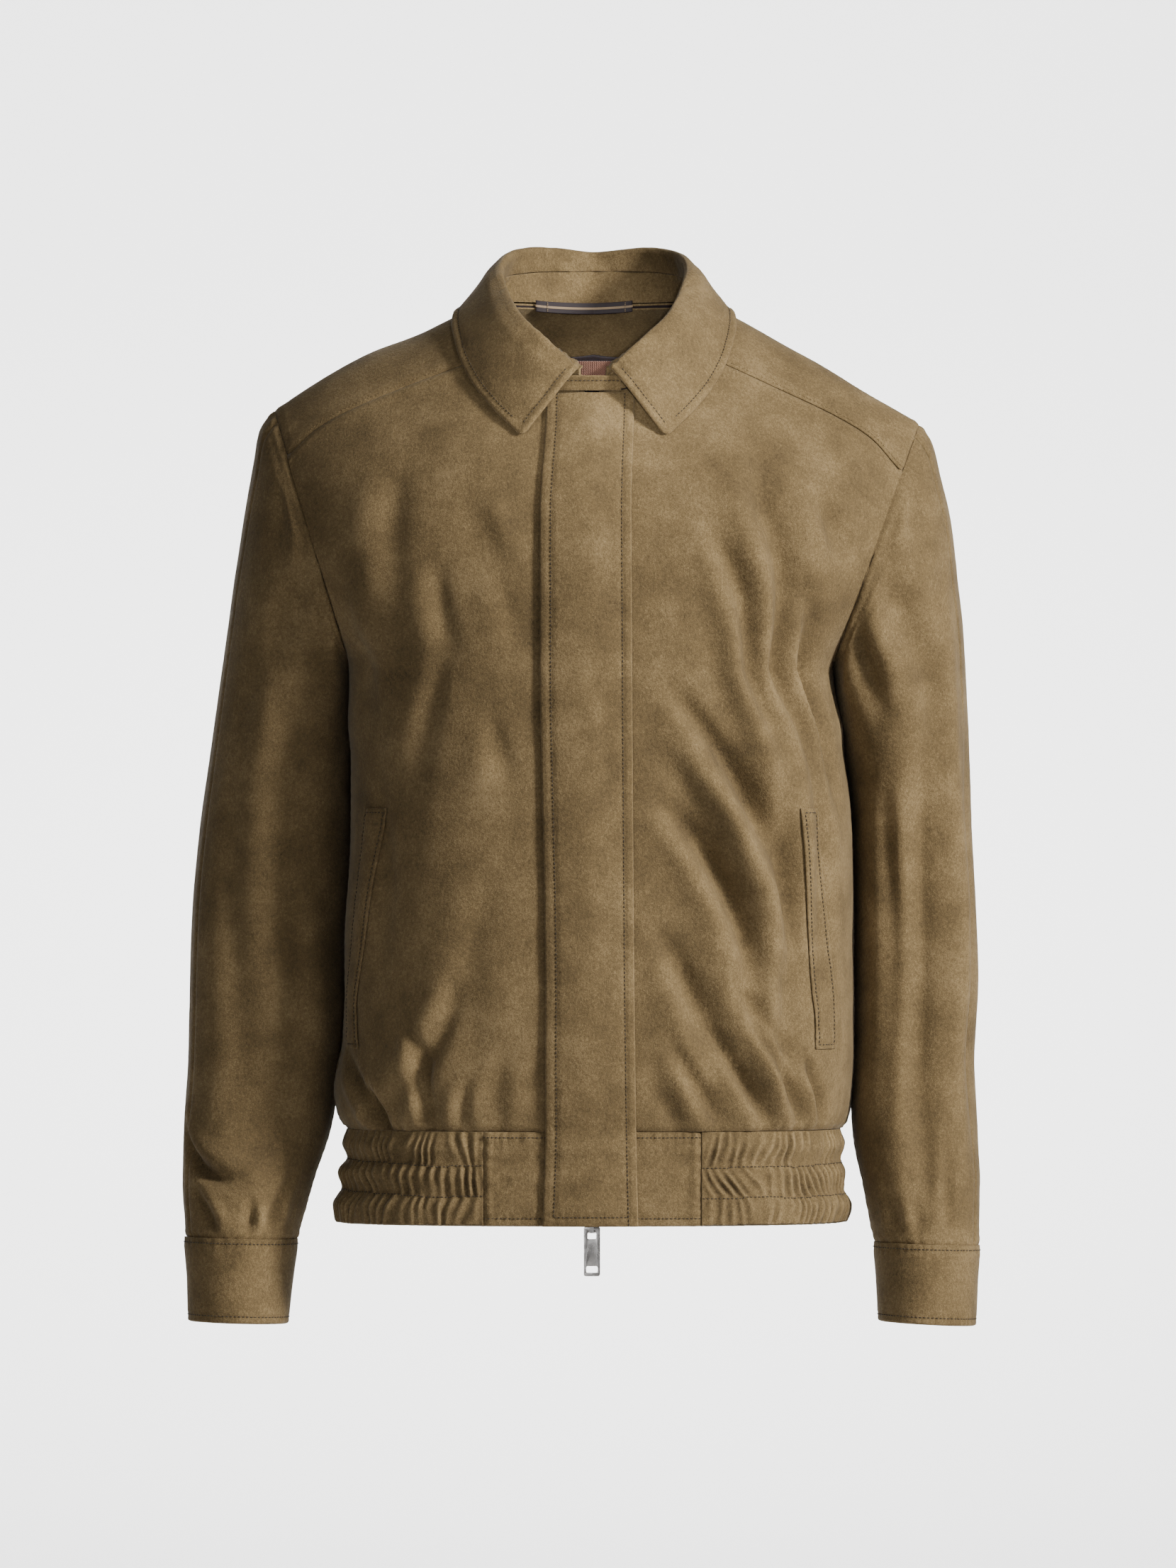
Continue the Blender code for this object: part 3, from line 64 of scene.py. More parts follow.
def make_camera():
    """A long lens far in front of the jacket, level with its middle."""
    lens = bpy.data.cameras.new("camera")
    lens.sensor_fit, lens.sensor_width, lens.sensor_height = "VERTICAL", SENSOR, SENSOR
    lens.lens = SENSOR * -CAMERA_AT[1] / FRAME_HEIGHT
    lens.clip_start, lens.clip_end = NEAREST, FURTHEST
    camera = added("camera", lens)
    camera.location = CAMERA_AT
    camera.rotation_euler = (math.pi / 2, 0, 0)
    bpy.context.scene.camera = camera


make_camera()

# ---- sizes ---------------------------------------------------------------------------------------

SEAM = 0.3              # gap between two pieces at a seam
SUEDE = 1.6             # wall of the suede with its backing
BAND = 2.4              # wall of the waistband and placket
CUFF = BAND + 0.6       # wall of the cuffs
STAND = 2.0             # wall of the collar's stand
COLLAR = 2.6            # wall of the collar's fall
THIN = 1.2              # wall of facing, lining and knit
TAPE = 1.0              # wall of the zip's tapes and the hanger loop

HEM_Z = -638.0
WAIST_Z = -572.0
UNDERARM_Z = -245.0
SHOULDER_DROP = 150.0   # height over which the shoulder rounds into the chest
NECK_X = 75.0           # half width of the neck hole
YOKE_X = 66.0           # where the yoke's front seam meets the neck
YOKE_BACK_Z = -92.0     # the yoke's seam across the back
ZIP_X = -1.5            # the zip lies a little left of the middle
FRONT_GAP = 5.0         # from the zip's middle to the edge of each front
TAPE_WIDTH = 13.0
TAB_LEFT_X = -77.5      # where the waistband's plain tabs end and its elastic begins
TAB_RIGHT_X = 75.0
TAB_EASE = 0.5          # radians round the waistband over which its gathers turn to run beside a tab
TAB_ROWS = {"south": 5.5, "north": 4.0}
# The print of a press fastener on the left tab.
SNAP = {"x": -63, "z": -607, "ring": 6.6, "ring_wide": 1.5, "flat": 4.5}


def table(columns, *rows):
    """Rows of numbers with named columns."""
    return {name: np.array([row[i] for row in rows], float) for i, name in enumerate(columns.split())}


# Level sections of the body: half widths on either side, depths and squareness, front and back.
BODY = table(
    "z left right front back square_front square_back",
    (-638, 182.0, 178.0, 122.0, 123.0, 2.6, 2.5),
    (-626, 183.5, 180.5, 122.5, 124.0, 2.6, 2.5),
    (-613, 177.5, 175.5, 121.5, 121.5, 2.6, 2.5),
    (-603, 179.5, 176.5, 122.0, 123.0, 2.6, 2.5),
    (-593, 174.0, 174.0, 121.0, 120.5, 2.6, 2.5),
    (-583, 177.0, 176.5, 122.0, 122.5, 2.6, 2.5),
    (-572, 174.5, 174.0, 121.5, 119.5, 2.6, 2.5),
    (-562, 180.0, 178.5, 124.0, 127.0, 2.6, 2.4),
    (-545, 182.5, 180.5, 127.0, 131.0, 2.6, 2.3),
    (-510, 176.0, 182.0, 130.5, 133.0, 2.6, 2.2),
    (-447, 176.0, 183.0, 133.0, 133.0, 2.6, 2.15),
    (-366, 171.8, 181.5, 135.0, 134.0, 2.6, 2.15),
    (-300, 171.5, 174.0, 136.0, 136.0, 2.6, 2.2),
    (-251, 169.8, 165.0, 137.0, 138.6, 2.6, 2.3),
    (-245, 171.0, 167.0, 137.0, 139.0, 2.6, 2.3),
    (-215, 194.0, 190.0, 137.0, 140.0, 2.4, 2.3),
    (-182, 216.0, 214.0, 135.5, 140.0, 2.3, 2.3),
    (-136, 235.0, 236.0, 128.0, 138.0, 2.2, 2.3),
    (-100, 242.0, 246.0, 118.0, 134.0, 2.2, 2.2),
    (-55, 246.0, 250.0, 100.0, 126.0, 2.2, 2.2),
    (0, 246.0, 250.0, 91.0, 119.0, 2.2, 2.2),
    (34, 246.0, 250.0, 88.0, 114.0, 2.2, 2.2),
)
# Height of the shoulder line at each distance out from the middle.
SHOULDER = table(
    "out left right",
    (0, 32.0, 32.0), (40, 24.0, 24.0), (75, 10.0, 10.0), (98, 0.0, 0.0), (125, -12.5, -15.0),
    (160, -25.5, -34.0), (190, -42.0, -52.0), (226, -66.0, -73.5), (232, -70.5, -77.5),
)
SHOULDER_TIP = {-1: 226.0, 1: 229.5}
NECK_FRONT = table("out z", (0, -55.0), (20, -53.0), (40, -46.0), (58, -33.5), (YOKE_X, -23.5))
NECK_BACK = table("out z", (0, 10.6), (30, 10.8), (50, 11.0), (65, 11.0), (NECK_X, 10.0))
NECK_BEND = 5.5         # how sharply the neck hole turns from the front to the shoulder
YOKE_FRONT = table(
    "out left right",
    (YOKE_X, -23.5, -23.5), (95, -36.0, -36.0), (130, -49.0, -52.0), (174, -67.5, -73.0),
    (195, -79.5, -86.5), (215, -98.0, -109.0),
)
# The cloth that bags out over the waistband, with soft upright creases.
BLOUSE = {"height": 55.0, "creases": 0.8, "pitch": 17, "long": 0.25}
# Sleeve sections: the outermost and innermost point in the front view, the middle's y, half depth.
SLEEVE_LEFT = table(
    "out_x out_z in_x in_z mid_y depth",
    (226.0, -66.0, 171.0, -245.0, 2, 71), (236.0, -81.0, 171.2, -250.5, 3, 73),
    (241.0, -106.0, 171.4, -257.0, 5, 74),
    (246.5, -138.0, 171.4, -266.5, 9, 74), (252.5, -178.0, 171.0, -280.0, 14, 73.5),
    (259.0, -222.0, 171.0, -300.0, 20, 72),
    (265.5, -268.0, 170.6, -326.0, 26, 70), (272.5, -316.0, 170.4, -357.0, 30, 67.5),
    (279.0, -366.0, 172.0, -396.0, 32, 64.5),
    (283.5, -418.0, 175.2, -438.0, 30, 61.5), (285.5, -470.0, 175.6, -483.0, 22, 58),
    (286.5, -522.0, 179.4, -530.0, 20, 54.5),
    (289.5, -572.0, 186.5, -574.0, 10, 50.5), (290.5, -610.0, 196.5, -606.0, 2, 46),
    (289.0, -634.0, 203.5, -631.0, -4, 42),
    (287.0, -649.0, 209.5, -650.5, -8, 39.5),
)
SLEEVE_RIGHT = table(
    "out_x out_z in_x in_z mid_y depth",
    (229.5, -75.9, 167.0, -245.0, 2, 71), (239.0, -90.0, 167.4, -250.5, 3, 73),
    (244.5, -113.0, 168.0, -257.5, 5, 74),
    (251.5, -143.0, 168.8, -267.5, 9, 74.5), (256.5, -182.0, 170.4, -281.0, 14, 74),
    (260.5, -225.0, 173.8, -301.0, 20, 73),
    (263.5, -270.0, 177.3, -327.0, 28, 72), (265.0, -317.0, 180.4, -359.0, 32, 70.5),
    (267.0, -366.0, 181.2, -398.0, 31, 68),
    (270.5, -418.0, 182.2, -440.0, 27, 65), (271.5, -470.0, 182.4, -484.0, 22, 61),
    (269.5, -524.0, 181.6, -530.0, 20, 56.5),
    (272.0, -575.0, 183.4, -575.0, 10, 51.5), (273.0, -612.0, 189.0, -607.0, 2, 46.5),
    (272.8, -636.0, 194.0, -632.0, -4, 42),
    (271.0, -655.0, 198.0, -652.5, -8, 39.5),
)
CUFF_BOTTOM = {
    -1: (285.0, -707.5, 216.0, -709.5, -12.0, 37.0),
    1: (268.0, -711.0, 201.0, -707.5, -12.0, 37.0),
}
# Half the collar, from its point to the middle of the back: place along the neck (0 middle front, 1 yoke's
# seam, 2 shoulder line, 3 middle back), then the stand's top seam, the roll and the edge.
COLLAR_ROWS = table(
    "part seam_x seam_y seam_z roll_x roll_y roll_z edge_x edge_t",
    (0.12, 8, -95.5, -43.5, 9, -99.5, -37.5, 50.5, -0.854),
    (0.36, 21, -92.5, -36.0, 21, -95.5, -27.0, 70.0, -0.738),
    (0.64, 37, -82.5, -25.0, 35, -85.0, -14.5, 86.0, -0.600),
    (0.88, 51, -65.0, -12.0, 49, -66.0, -0.5, 95.5, -0.439),
    (1.14, 61, -40.0, 3.0, 57.5, -38.0, 15.0, 99.5, -0.242),
    (1.77, 66, -8.0, 20.0, 62.5, -6.0, 33.0, 97.0, 0.015),
    (2.26, 60, 27.0, 29.0, 56, 27.0, 45.5, 84.0, 0.265),
    (2.62, 37, 52.0, 33.5, 34, 54.0, 51.0, 48.0, 0.422),
    (3.00, 0, 64.5, 34.5, 0, 67.0, 48.5, 0.0, 0.497),
)
# Section of the collar's fall: shares of seam, roll and edge, then how far outward and upward.
FALL_ROWS = table(
    "seam roll edge out up",
    (1, 0, 0, 0, 0), (0.5, 0.5, 0, 0, 0), (0, 1, 0, 0, -3.5), (0, 1, 0, 1.2, -0.8), (0, 1, 0, 4.0, 0.6),
    (0, 0.96, 0.04, 7.0, -0.4), (0, 0.8, 0.2, 7.0, 1.0), (0, 0.6, 0.4, 5.0, 1.0),
    (0, 0.3, 0.7, 2.4, 0.5), (0, 0, 1, 0, 0),
)
STAND_LIFT = 0.9        # the stand rises this far above the neck's edge
EDGE_LIFT = 0.9         # the fall's edge stands off what it lies on by this and its own wall
PLACKET = table(
    "z left right",
    (-638, -36.2, 31.0), (-572, -34.2, 29.6), (-470, -34.2, 28.2), (-240, -38.0, 26.7), (-140, -38.0, 26.2),
    (-71, -33.8, 28.0), (-55.6, -33.5, 28.4),
)
PLACKET_TOP = -55.6
PLACKET_ROWS = {"west": 8.0, "east": 7.0, "south": 6.5}
# How far the placket's inside stands off the fronts, from its free edge to its sewn edge.
PLACKET_LIFT = table("share lift", (0, 0.9), (0.22, 3.6), (0.5, 4.8), (0.76, 3.2), (1, 1.0))
POCKET = table("z left right", (-515, -164.5, 155.5), (-486, -165.3, 154.5), (-443, -159.5, 151.5),
               (-403, -154.5, 148.5), (-346.5, -146.0, 141.5))
POCKET_WIDTH = 25.0
POCKET_LOW = -515.0
POCKET_HIGH = -346.5
POCKET_LIFT = 0.9
POCKET_ROW = 3.2        # from the welt's edge to its stitches
HANGER = {"left": -41.5, "right": 27.5, "top": 13.4, "bottom": 5.4, "off": 3.2, "slack": 6.5, "sag": 2.0}
STRIPE = {"low": 6, "high": 10, "proud": 0.25, "wall": 0.2}     # its rows of the loop's own 16
HANGER_BARS = (11, 82)  # columns of the loop's 90 that are sewn down
INSIDE_GAP = 1.2        # between the yoke and what lines it
# What lines the yoke: how far out its ends lie, then t at its ends and how much lower its middle is.
FACING = {"out": 100.0, "t": 0.05, "drop": 0.547, "round": 0.8}
LINING = {"out": 114.0, "t": 0.12, "drop": 0.72, "round": 0.6}
NECK_RIB = {"left": -31.0, "right": 29.0, "low": -47.0, "high": -34.0, "y": -91.35, "lean": 0.1,
            "bend": 150.0}
# The stand's lapping front end.
COLLAR_TAB = {"left": -32.0, "right": 19.0, "low": -55.0, "rise": 10.6, "y": -96.3, "lean": 4.3,
              "bend": 170.0}
# How far the cuff stands off the sleeve's end at each share of its own length.
CUFF_LEVELS = table("share lift", (0.0, 0.9), (0.08, 1.6), (0.5, 0.6), (1.0, 0.9))
CUFF_TOP = {"raised": 0.8, "row": 3.6}     # how far its top edge laps the sleeve, and its row of stitches
CUFF_HEM = 5.0
SLIDER_TOP = -629.0
TOOTH = {"size": (4.2, 2.2, 1.1), "pitch": 1.5, "aside": 1.5, "behind": 3.0, "start": 1.2, "end_z": -64,
         "bevel": 0.25}
PULL = {"width": 11.4, "length": 34.8, "thick": 1.4, "above_pin": 1.2, "edge": 0.3}
# The pull's windows: edges across it, and edges down from the pin.
PULL_ACROSS = (-4.0, -3.0, 3.0, 4.0)
PULL_DOWN = (-31.0, -26.5, -7.6)
# Creases of fronts and back: three points in the front view, depth (below 0 for a ridge) and half width.
FOLDS = table(
    "back x0 z0 x1 z1 x2 z2 depth width",
    (0, 112, -120, 134, -216, 158, -318, 4.6, 9), (0, 84, -160, 106, -214, 128, -300, 3.6, 8),
    (0, 52, -262, 112, -342, 140, -428, 5.0, 10), (0, 34, -338, 88, -392, 128, -500, 4.8, 10),
    (0, 34, -425, 66, -470, 96, -548, 4.0, 10), (0, 159, -128, 168, -150, 174, -174, 2.6, 7),
    (0, 148, -192, 153, -268, 170, -345, 4.2, 8),
    (0, 98, -200, 112, -286, 138, -366, -2.2, 10), (0, 46, -296, 92, -352, 128, -440, -2.4, 9),
    (0, 130, -330, 140, -420, 136, -520, 3.0, 10), (0, 112, -420, 124, -480, 126, -560, -2.4, 9),
    (0, 50, -505, 72, -540, 90, -571, 2.9, 6), (0, 84, -500, 106, -536, 124, -571, 3.2, 6),
    (0, 38, -535, 50, -555, 58, -571, 2.0, 5), (0, 112, -498, 132, -532, 146, -569, 3.0, 6),
    (0, 100, -470, 124, -500, 148, -530, 2.4, 8), (0, 150, -520, 158, -545, 160, -571, 2.4, 6),
    (0, 146, -280, 160, -380, 158, -470, 2.6, 11), (0, 112, -96, 120, -120, 122, -146, 1.4, 8),
    (0, 34, -512, 40, -545, 44, -570, 1.6, 6),
    (0, -108, -177, -107, -210, -98, -246, 1.3, 8), (0, -109, -234, -115, -282, -130, -344, 1.2, 10),
    (0, -74, -129, -62, -150, -45, -173, -1.0, 9), (0, -65, -188, -58, -210, -48, -230, 0.8, 8),
    (0, -71, -284, -66, -305, -57, -328, 1.0, 9), (0, -159, -543, -154, -559, -148, -573, 2.8, 5.5),
    (0, -173, -520, -161, -548, -147, -572, 2.5, 6.5), (0, -128, -500, -120, -540, -112, -573, 2.6, 7),
    (0, -150, -180, -153, -230, -140, -292, -1.5, 13), (0, -96, -470, -116, -520, -146, -566, 2.2, 9),
    (0, -70, -400, -88, -470, -80, -530, 0.9, 13), (0, -135, -110, -142, -150, -140, -190, 1.3, 9),
    (0, -62, -520, -70, -548, -66, -571, 1.1, 8), (0, -88, -536, -92, -556, -92, -571, 1.4, 5),
    (0, -40, -520, -42, -548, -40, -571, 1.1, 6), (0, -150, -330, -146, -400, -150, -470, 1.4, 11),
    (1, 60, -128, 96, -205, 122, -302, 2.9, 15), (1, -70, -138, -98, -205, -116, -282, 3.2, 14),
    (1, 20, -298, 34, -400, 62, -502, 2.4, 17), (1, -40, -318, -72, -420, -92, -522, 2.7, 15),
    (1, 120, -398, 116, -480, 98, -562, -2.6, 16), (1, -130, -418, -130, -490, -118, -562, -2.4, 15),
    (1, 140, -200, 150, -260, 146, -330, 2.4, 11), (1, -145, -190, -152, -250, -150, -320, 2.2, 11),
    (1, 70, -540, 76, -556, 74, -571, 1.8, 5), (1, -60, -536, -56, -554, -60, -571, 2.0, 6),
    (1, 10, -548, 6, -560, 8, -571, 1.5, 5), (1, 110, -546, 118, -560, 118, -571, 1.8, 5),
)
FOLD_STRENGTH = 2.6
# Unevenness of the suede: how wide the bumps are and how high, finest last.
UNEVEN = ((90, 1.5), (40, 0.6), (17, 0.26), (7, 0.09))
WAIST_PLEATS = {"pitch": 11.5, "depth": 1.3, "height": 26.0}
# Folds fade towards a line: how far from it they start, and over what width they grow to their full depth.
FADE = {"zip": (34, 30), "yoke": (46, 30), "arm": (0, 14)}
# The body swells under the arm to meet the sleeve: by how much, at what height and how far up and down.
UNDER_ARM = {"swell": 3.6, "z": -266, "reach": 34}
# The left front and left sleeve hang smoother: their share of the unevenness and of the long folds.
CALM = {"front": 0.5, "left_sleeve": 0.45, "right_sleeve": 0.85, "left_folds": 0.5}
SLEEVE_ROUND = 58.0     # millimetres to a radian round a sleeve
SLEEVE_LONG = 600.0
# Parts of a sleeve's length over which its outline and depth leave the armhole's.
SLEEVE_START = {"round": 0.3, "depth": 0.28}
# Parts over which folds grow below the armhole and end above the cuff; the left folds above 0.8 are calm.
SLEEVE_CALM = {"top": 0.08, "cuff": 0.05, "above": 0.8}
# Small gathers where a sleeve is sewn to its cuff.
CUFF_GATHERS = {"pitch": 13, "depth": 1.6, "height": 30}
# Creases on the sleeves: side, three angles round the sleeve (0 outside, 90 front) and parts of its length.
SLEEVE_FOLDS = table(
    "side angle0 part0 angle1 part1 angle2 part2 depth width",
    (-1, 98, 0.13, 80, 0.28, 50, 0.43, 3.0, 11), (-1, 70, 0.28, 78, 0.45, 96, 0.63, -2.2, 14),
    (-1, 122, 0.10, 116, 0.20, 99, 0.31, 2.8, 9), (-1, 55, 0.48, 68, 0.65, 86, 0.81, 2.6, 13),
    (-1, 16, 0.80, 45, 0.845, 80, 0.865, 3.2, 7), (-1, 100, 0.55, 112, 0.68, 100, 0.80, 2.4, 11),
    (-1, 40, 0.88, 55, 0.93, 60, 0.985, 1.8, 6), (-1, 95, 0.90, 98, 0.95, 96, 0.99, 1.9, 5),
    (-1, 130, 0.86, 120, 0.92, 122, 0.985, 1.6, 6), (-1, 60, 0.06, 66, 0.12, 60, 0.20, 1.6, 9),
    (-1, -80, 0.25, -60, 0.42, -50, 0.60, 2.8, 15), (-1, -120, 0.13, -110, 0.26, -90, 0.40, 2.8, 12),
    (-1, -60, 0.62, -80, 0.76, -70, 0.90, 2.2, 12), (-1, -100, 0.90, -98, 0.95, -100, 0.99, 1.6, 6),
    (1, 96, 0.12, 82, 0.25, 60, 0.41, 2.9, 11), (1, 42, 0.28, 52, 0.55, 48, 0.86, -2.2, 13),
    (1, 78, 0.42, 88, 0.66, 84, 0.93, 2.5, 11), (1, 126, 0.12, 120, 0.22, 104, 0.35, 2.8, 9),
    (1, 18, 0.42, 26, 0.60, 24, 0.82, 1.8, 10), (1, 112, 0.45, 108, 0.62, 116, 0.80, 2.0, 10),
    (1, 62, 0.80, 66, 0.90, 62, 0.985, 1.1, 7), (1, 100, 0.89, 98, 0.94, 100, 0.99, 0.9, 6),
    (1, 128, 0.88, 124, 0.94, 126, 0.985, 1.0, 7), (1, 56, 0.05, 60, 0.12, 54, 0.19, 1.5, 9),
    (1, -80, 0.25, -64, 0.42, -50, 0.60, 2.8, 15), (1, -120, 0.13, -108, 0.26, -90, 0.40, 2.8, 12),
    (1, -40, 0.50, -60, 0.68, -80, 0.86, -2.2, 15), (1, -110, 0.88, -106, 0.94, -108, 0.99, 1.6, 6),
)
# Elastic: height of each seam across it, and how far its outer end on either side lies off that.
BAND_ROWS = table("z left right", (-572, 0, 0), (-597, 4, 1), (-618, 3, 0), (-638, 0, 0))
BAND_LEANS = (0.35, -0.6, 0.55)     # how the gathers of each row lean, from the top
GATHER = {"pitch": 8.0, "depth": 2.7, "puff": 0.25, "pinch": 0.4}
ELASTIC_GRID = {"column": 0.95, "rows": 76, "flat_at_ends": 5}
GATHERED = 1.25         # length of the elastic's cloth as cut, to its length as sewn
# Beside a sewn edge: the low roll, the width of the pulled-in line, and the puckers' spacing, how far it
# drifts, and where they start and end.
SEWN = {"roll_at": 4.5, "roll_wide": 2.6, "dip_wide": 1.6, "pitch": 8.5, "drift": 22, "start": 1.5,
        "reach": 9}
STITCHED = {"dip_wide": 1.3, "pitch": 6.5, "drift": 20, "reach": 5}     # the same beside a row of stitches
STITCH = {"pitch": 2.9, "length": 2.1, "wide": 0.40, "proud": 0.16}

# ---- curves and surfaces -------------------------------------------------------------------------


def smooth(x, xs, ys):
    """A cubic through a table's rows that never overshoots; level beyond its ends."""
    x = np.clip(x, xs[0], xs[-1])
    row = np.clip(np.searchsorted(xs, x, side="right") - 1, 0, len(xs) - 2)
    step = np.diff(xs)
    rate = np.diff(ys) / step
    slope = np.concatenate([[rate[0]], np.zeros(len(rate) - 1), [rate[-1]]])
    same = rate[:-1] * rate[1:] > 0
    slope[1:-1][same] = 2 / (1 / rate[:-1][same] + 1 / rate[1:][same])
    t = (x - xs[row]) / step[row]
    return (ys[row] * (1 + 2 * t) * (1 - t) ** 2 + ys[row + 1] * (3 - 2 * t) * t ** 2
            + step[row] * (slope[row] * t * (1 - t) ** 2 - slope[row + 1] * t ** 2 * (1 - t)))


def sided(rows, key, at, x):
    """A column pair left/right of a table, chosen by the sign of x."""
    left, right = (smooth(at, rows[key], rows[name]) for name in ("left", "right"))
    return np.where(np.asarray(x) < 0, left, right)


def ridge(x):
    """Height of the shoulder line at x."""
    return sided(SHOULDER, "out", np.abs(x), x)


def section(z, x_sign, back):
    """Half width, depth and squareness of the body at height z."""
    width = sided(BODY, "z", z, x_sign)
    depth, square = [
        np.where(back, *(smooth(z, BODY["z"], BODY[name + sheet]) for sheet in ("back", "front")))
        for name in ("", "square_")]
    return width, depth, square


def plain_body(theta, z):
    """The body without folds. theta runs from 0 at the middle front, past pi/2 at +X, to pi at the back."""
    theta, z = np.broadcast_arrays(np.asarray(theta, float), np.asarray(z, float))
    across, along = np.sin(theta), np.cos(theta)
    width, depth, square = section(z, across, along < 0)
    x = np.sign(across) * width * np.abs(across) ** (2 / square)
    drop = np.clip((ridge(x) - z) / SHOULDER_DROP, 0, 1)
    rise = np.sqrt(1 - (1 - drop) ** 2)
    y = -np.sign(along) * depth * np.abs(along) ** (2 / square) * rise
    return np.stack([x, y, z], -1)


def theta_at(x, z, back):
    """The angle at which the body passes through x at height z."""
    x, z, back = np.broadcast_arrays(np.asarray(x, float), np.asarray(z, float), np.asarray(back, bool))
    width, _, square = section(z, x, back)
    angle = np.arcsin(np.clip(np.abs(x) / width, 0, 1) ** (square / 2))
    return np.sign(x) * np.where(back, math.pi - angle, angle) + np.where((x == 0) & back, math.pi, 0)


def girth_table():
    """Distance round the body from the middle front, on one reference section."""
    theta = np.linspace(0, math.pi, 400)
    ring = plain_body(theta, np.full(400, -450.0))
    return theta, np.concatenate([[0], np.cumsum(np.linalg.norm(np.diff(ring, axis=0), axis=1))])


GIRTH_THETA, GIRTH = girth_table()


def girth(theta):
    """Distance round the body from the middle front to an angle."""
    turned = (np.asarray(theta) + math.pi) % (2 * math.pi) - math.pi
    return np.sign(turned) * np.interp(np.abs(turned), GIRTH_THETA, GIRTH)


def theta_of_girth(distance):
    """The angle at a distance round the body."""
    return np.sign(distance) * np.interp(np.abs(distance), GIRTH, GIRTH_THETA)


def armhole_x(x, z):
    """How far out the armhole seam lies at height z, on the side that x is on."""
    tip_z = np.where(x < 0, float(ridge(-SHOULDER_TIP[-1])), float(ridge(SHOULDER_TIP[1])))
    tip_x = np.where(x < 0, SHOULDER_TIP[-1], SHOULDER_TIP[1])
    low_x = sided(BODY, "z", UNDERARM_Z, x)
    return low_x + (tip_x - low_x) * (z - UNDERARM_Z) / (tip_z - UNDERARM_Z)


def armhole_angle(side, z, back):
    """Angle from the middle of a sheet out to the armhole, or to the side seam below it."""
    width, _, square = section(z, side, back)
    reach = np.clip(armhole_x(side, z) / width, 0, 1) ** (square / 2)
    return np.where(z > UNDERARM_Z, np.arcsin(reach), math.pi / 2)


def front_y(x, z):
    """The y of the front's outer face at a place in the front view."""
    return plain_body(theta_at(x, z, False), z)[..., 1]


def armhole(side, psi):
    """The armhole seam. psi is 0 at the shoulder tip, pi/2 in front, pi under the arm, below 0 behind."""
    top_x, low_x = SHOULDER_TIP[side], float(sided(BODY, "z", UNDERARM_Z, side))
    top_z = float(ridge(side * top_x))
    share = (1 - np.cos(psi)) / 2
    x, z = side * (top_x + (low_x - top_x) * share), top_z + (UNDERARM_Z - top_z) * share
    return x, z, np.sin(psi) < -1e-9


def arm_angles(side):
    """psi at each vertex of the armhole, from under the arm round the back to under the arm."""
    column = "left" if side < 0 else "right"
    top_z = float(ridge(side * SHOULDER_TIP[side]))
    half = (top_z - UNDERARM_Z) / 2
    front = math.acos((YOKE_FRONT[column][-1] - UNDERARM_Z - half) / half)
    behind = math.acos((YOKE_BACK_Z - 6 - UNDERARM_Z - half) / half)
    return spread((-math.pi, -behind, 0.0, front, math.pi), ARM_SEGMENTS)


def superellipse(angle, square):
    """Across and along of a rounded square of half width 1, at an angle round it."""
    c, s = np.cos(angle), np.sin(angle)
    return np.sign(c) * np.abs(c) ** (2 / square), np.sign(s) * np.abs(s) ** (2 / square)


def band_theta(around, z):
    """Angle at a distance round the waistband, whose front ends run straight down beside the tabs."""
    theta = theta_of_girth(np.where(around > GIRTH[-1], around - 2 * GIRTH[-1], around))
    for edge_x in (TAB_LEFT_X, TAB_RIGHT_X):
        at_top = theta_at(edge_x, WAIST_Z, False)
        near = np.clip(1 - np.abs(theta - at_top) / TAB_EASE, 0, 1)
        theta = theta + near * (theta_at(edge_x + 0 * z, z, False) - at_top)
    return theta


def ripple(u, v, size, seed):
    """Smooth unevenness between -1 and 1, its bumps about so many millimetres across."""
    heights = np.random.RandomState(seed).uniform(-1, 1, (64, 64))
    u, v = np.broadcast_arrays(np.asarray(u, float) / size, np.asarray(v, float) / size)
    i, j = np.floor(u).astype(int), np.floor(v).astype(int)
    s, t = u - i, v - j
    s, t = s * s * (3 - 2 * s), t * t * (3 - 2 * t)
    i, j, k, m = i % 64, j % 64, (i + 1) % 64, (j + 1) % 64
    low, high = heights[i, j] * (1 - s) + heights[k, j] * s, heights[i, m] * (1 - s) + heights[k, m] * s
    return low * (1 - t) + high * t


def uneven(u, v, seed):
    """The suede's soft unevenness in millimetres."""
    return sum(height * ripple(u + 7 * k, v, size, seed + k) for k, (size, height) in enumerate(UNEVEN))


def bent(u, v, points, depth, width):
    """A trough along a curve through three points, with a low ridge beside it, fading at both ends."""
    first, middle, last = (np.array(point, float) for point in points)
    t = np.linspace(0, 1, 11)[:, None]
    pull = 2 * middle - (first + last) / 2
    line = (1 - t) ** 2 * first + 2 * t * (1 - t) * pull + t ** 2 * last
    best, along, beside = np.full(u.shape, 1e9), np.zeros(u.shape), np.zeros(u.shape)
    for a, b, start in zip(line, line[1:], t[:, 0]):
        step = b - a
        share = np.clip(((u - a[0]) * step[0] + (v - a[1]) * step[1]) / (step @ step), 0, 1)
        du, dv = u - a[0] - share * step[0], v - a[1] - share * step[1]
        away = np.hypot(du, dv)
        nearer = away < best
        best, along = np.where(nearer, away, best), np.where(nearer, start + share * 0.1, along)
        beside = np.where(nearer, np.sign(du * step[1] - dv * step[0]), beside)
    fade = np.sin(math.pi * (0.04 + 0.92 * along)) ** 0.8
    reach = width * (0.75 + 0.5 * along)
    away = best * beside / reach
    return -FOLD_STRENGTH * depth * fade * (np.exp(-away ** 2) - 0.5 * np.exp(-((away - 1.8) / 1.2) ** 2))


def faded(line, away, least):
    """Share of a fold's depth at a distance from a line where folds fade out."""
    start, width = FADE[line]
    return np.clip((away - start) / width, least, 1)


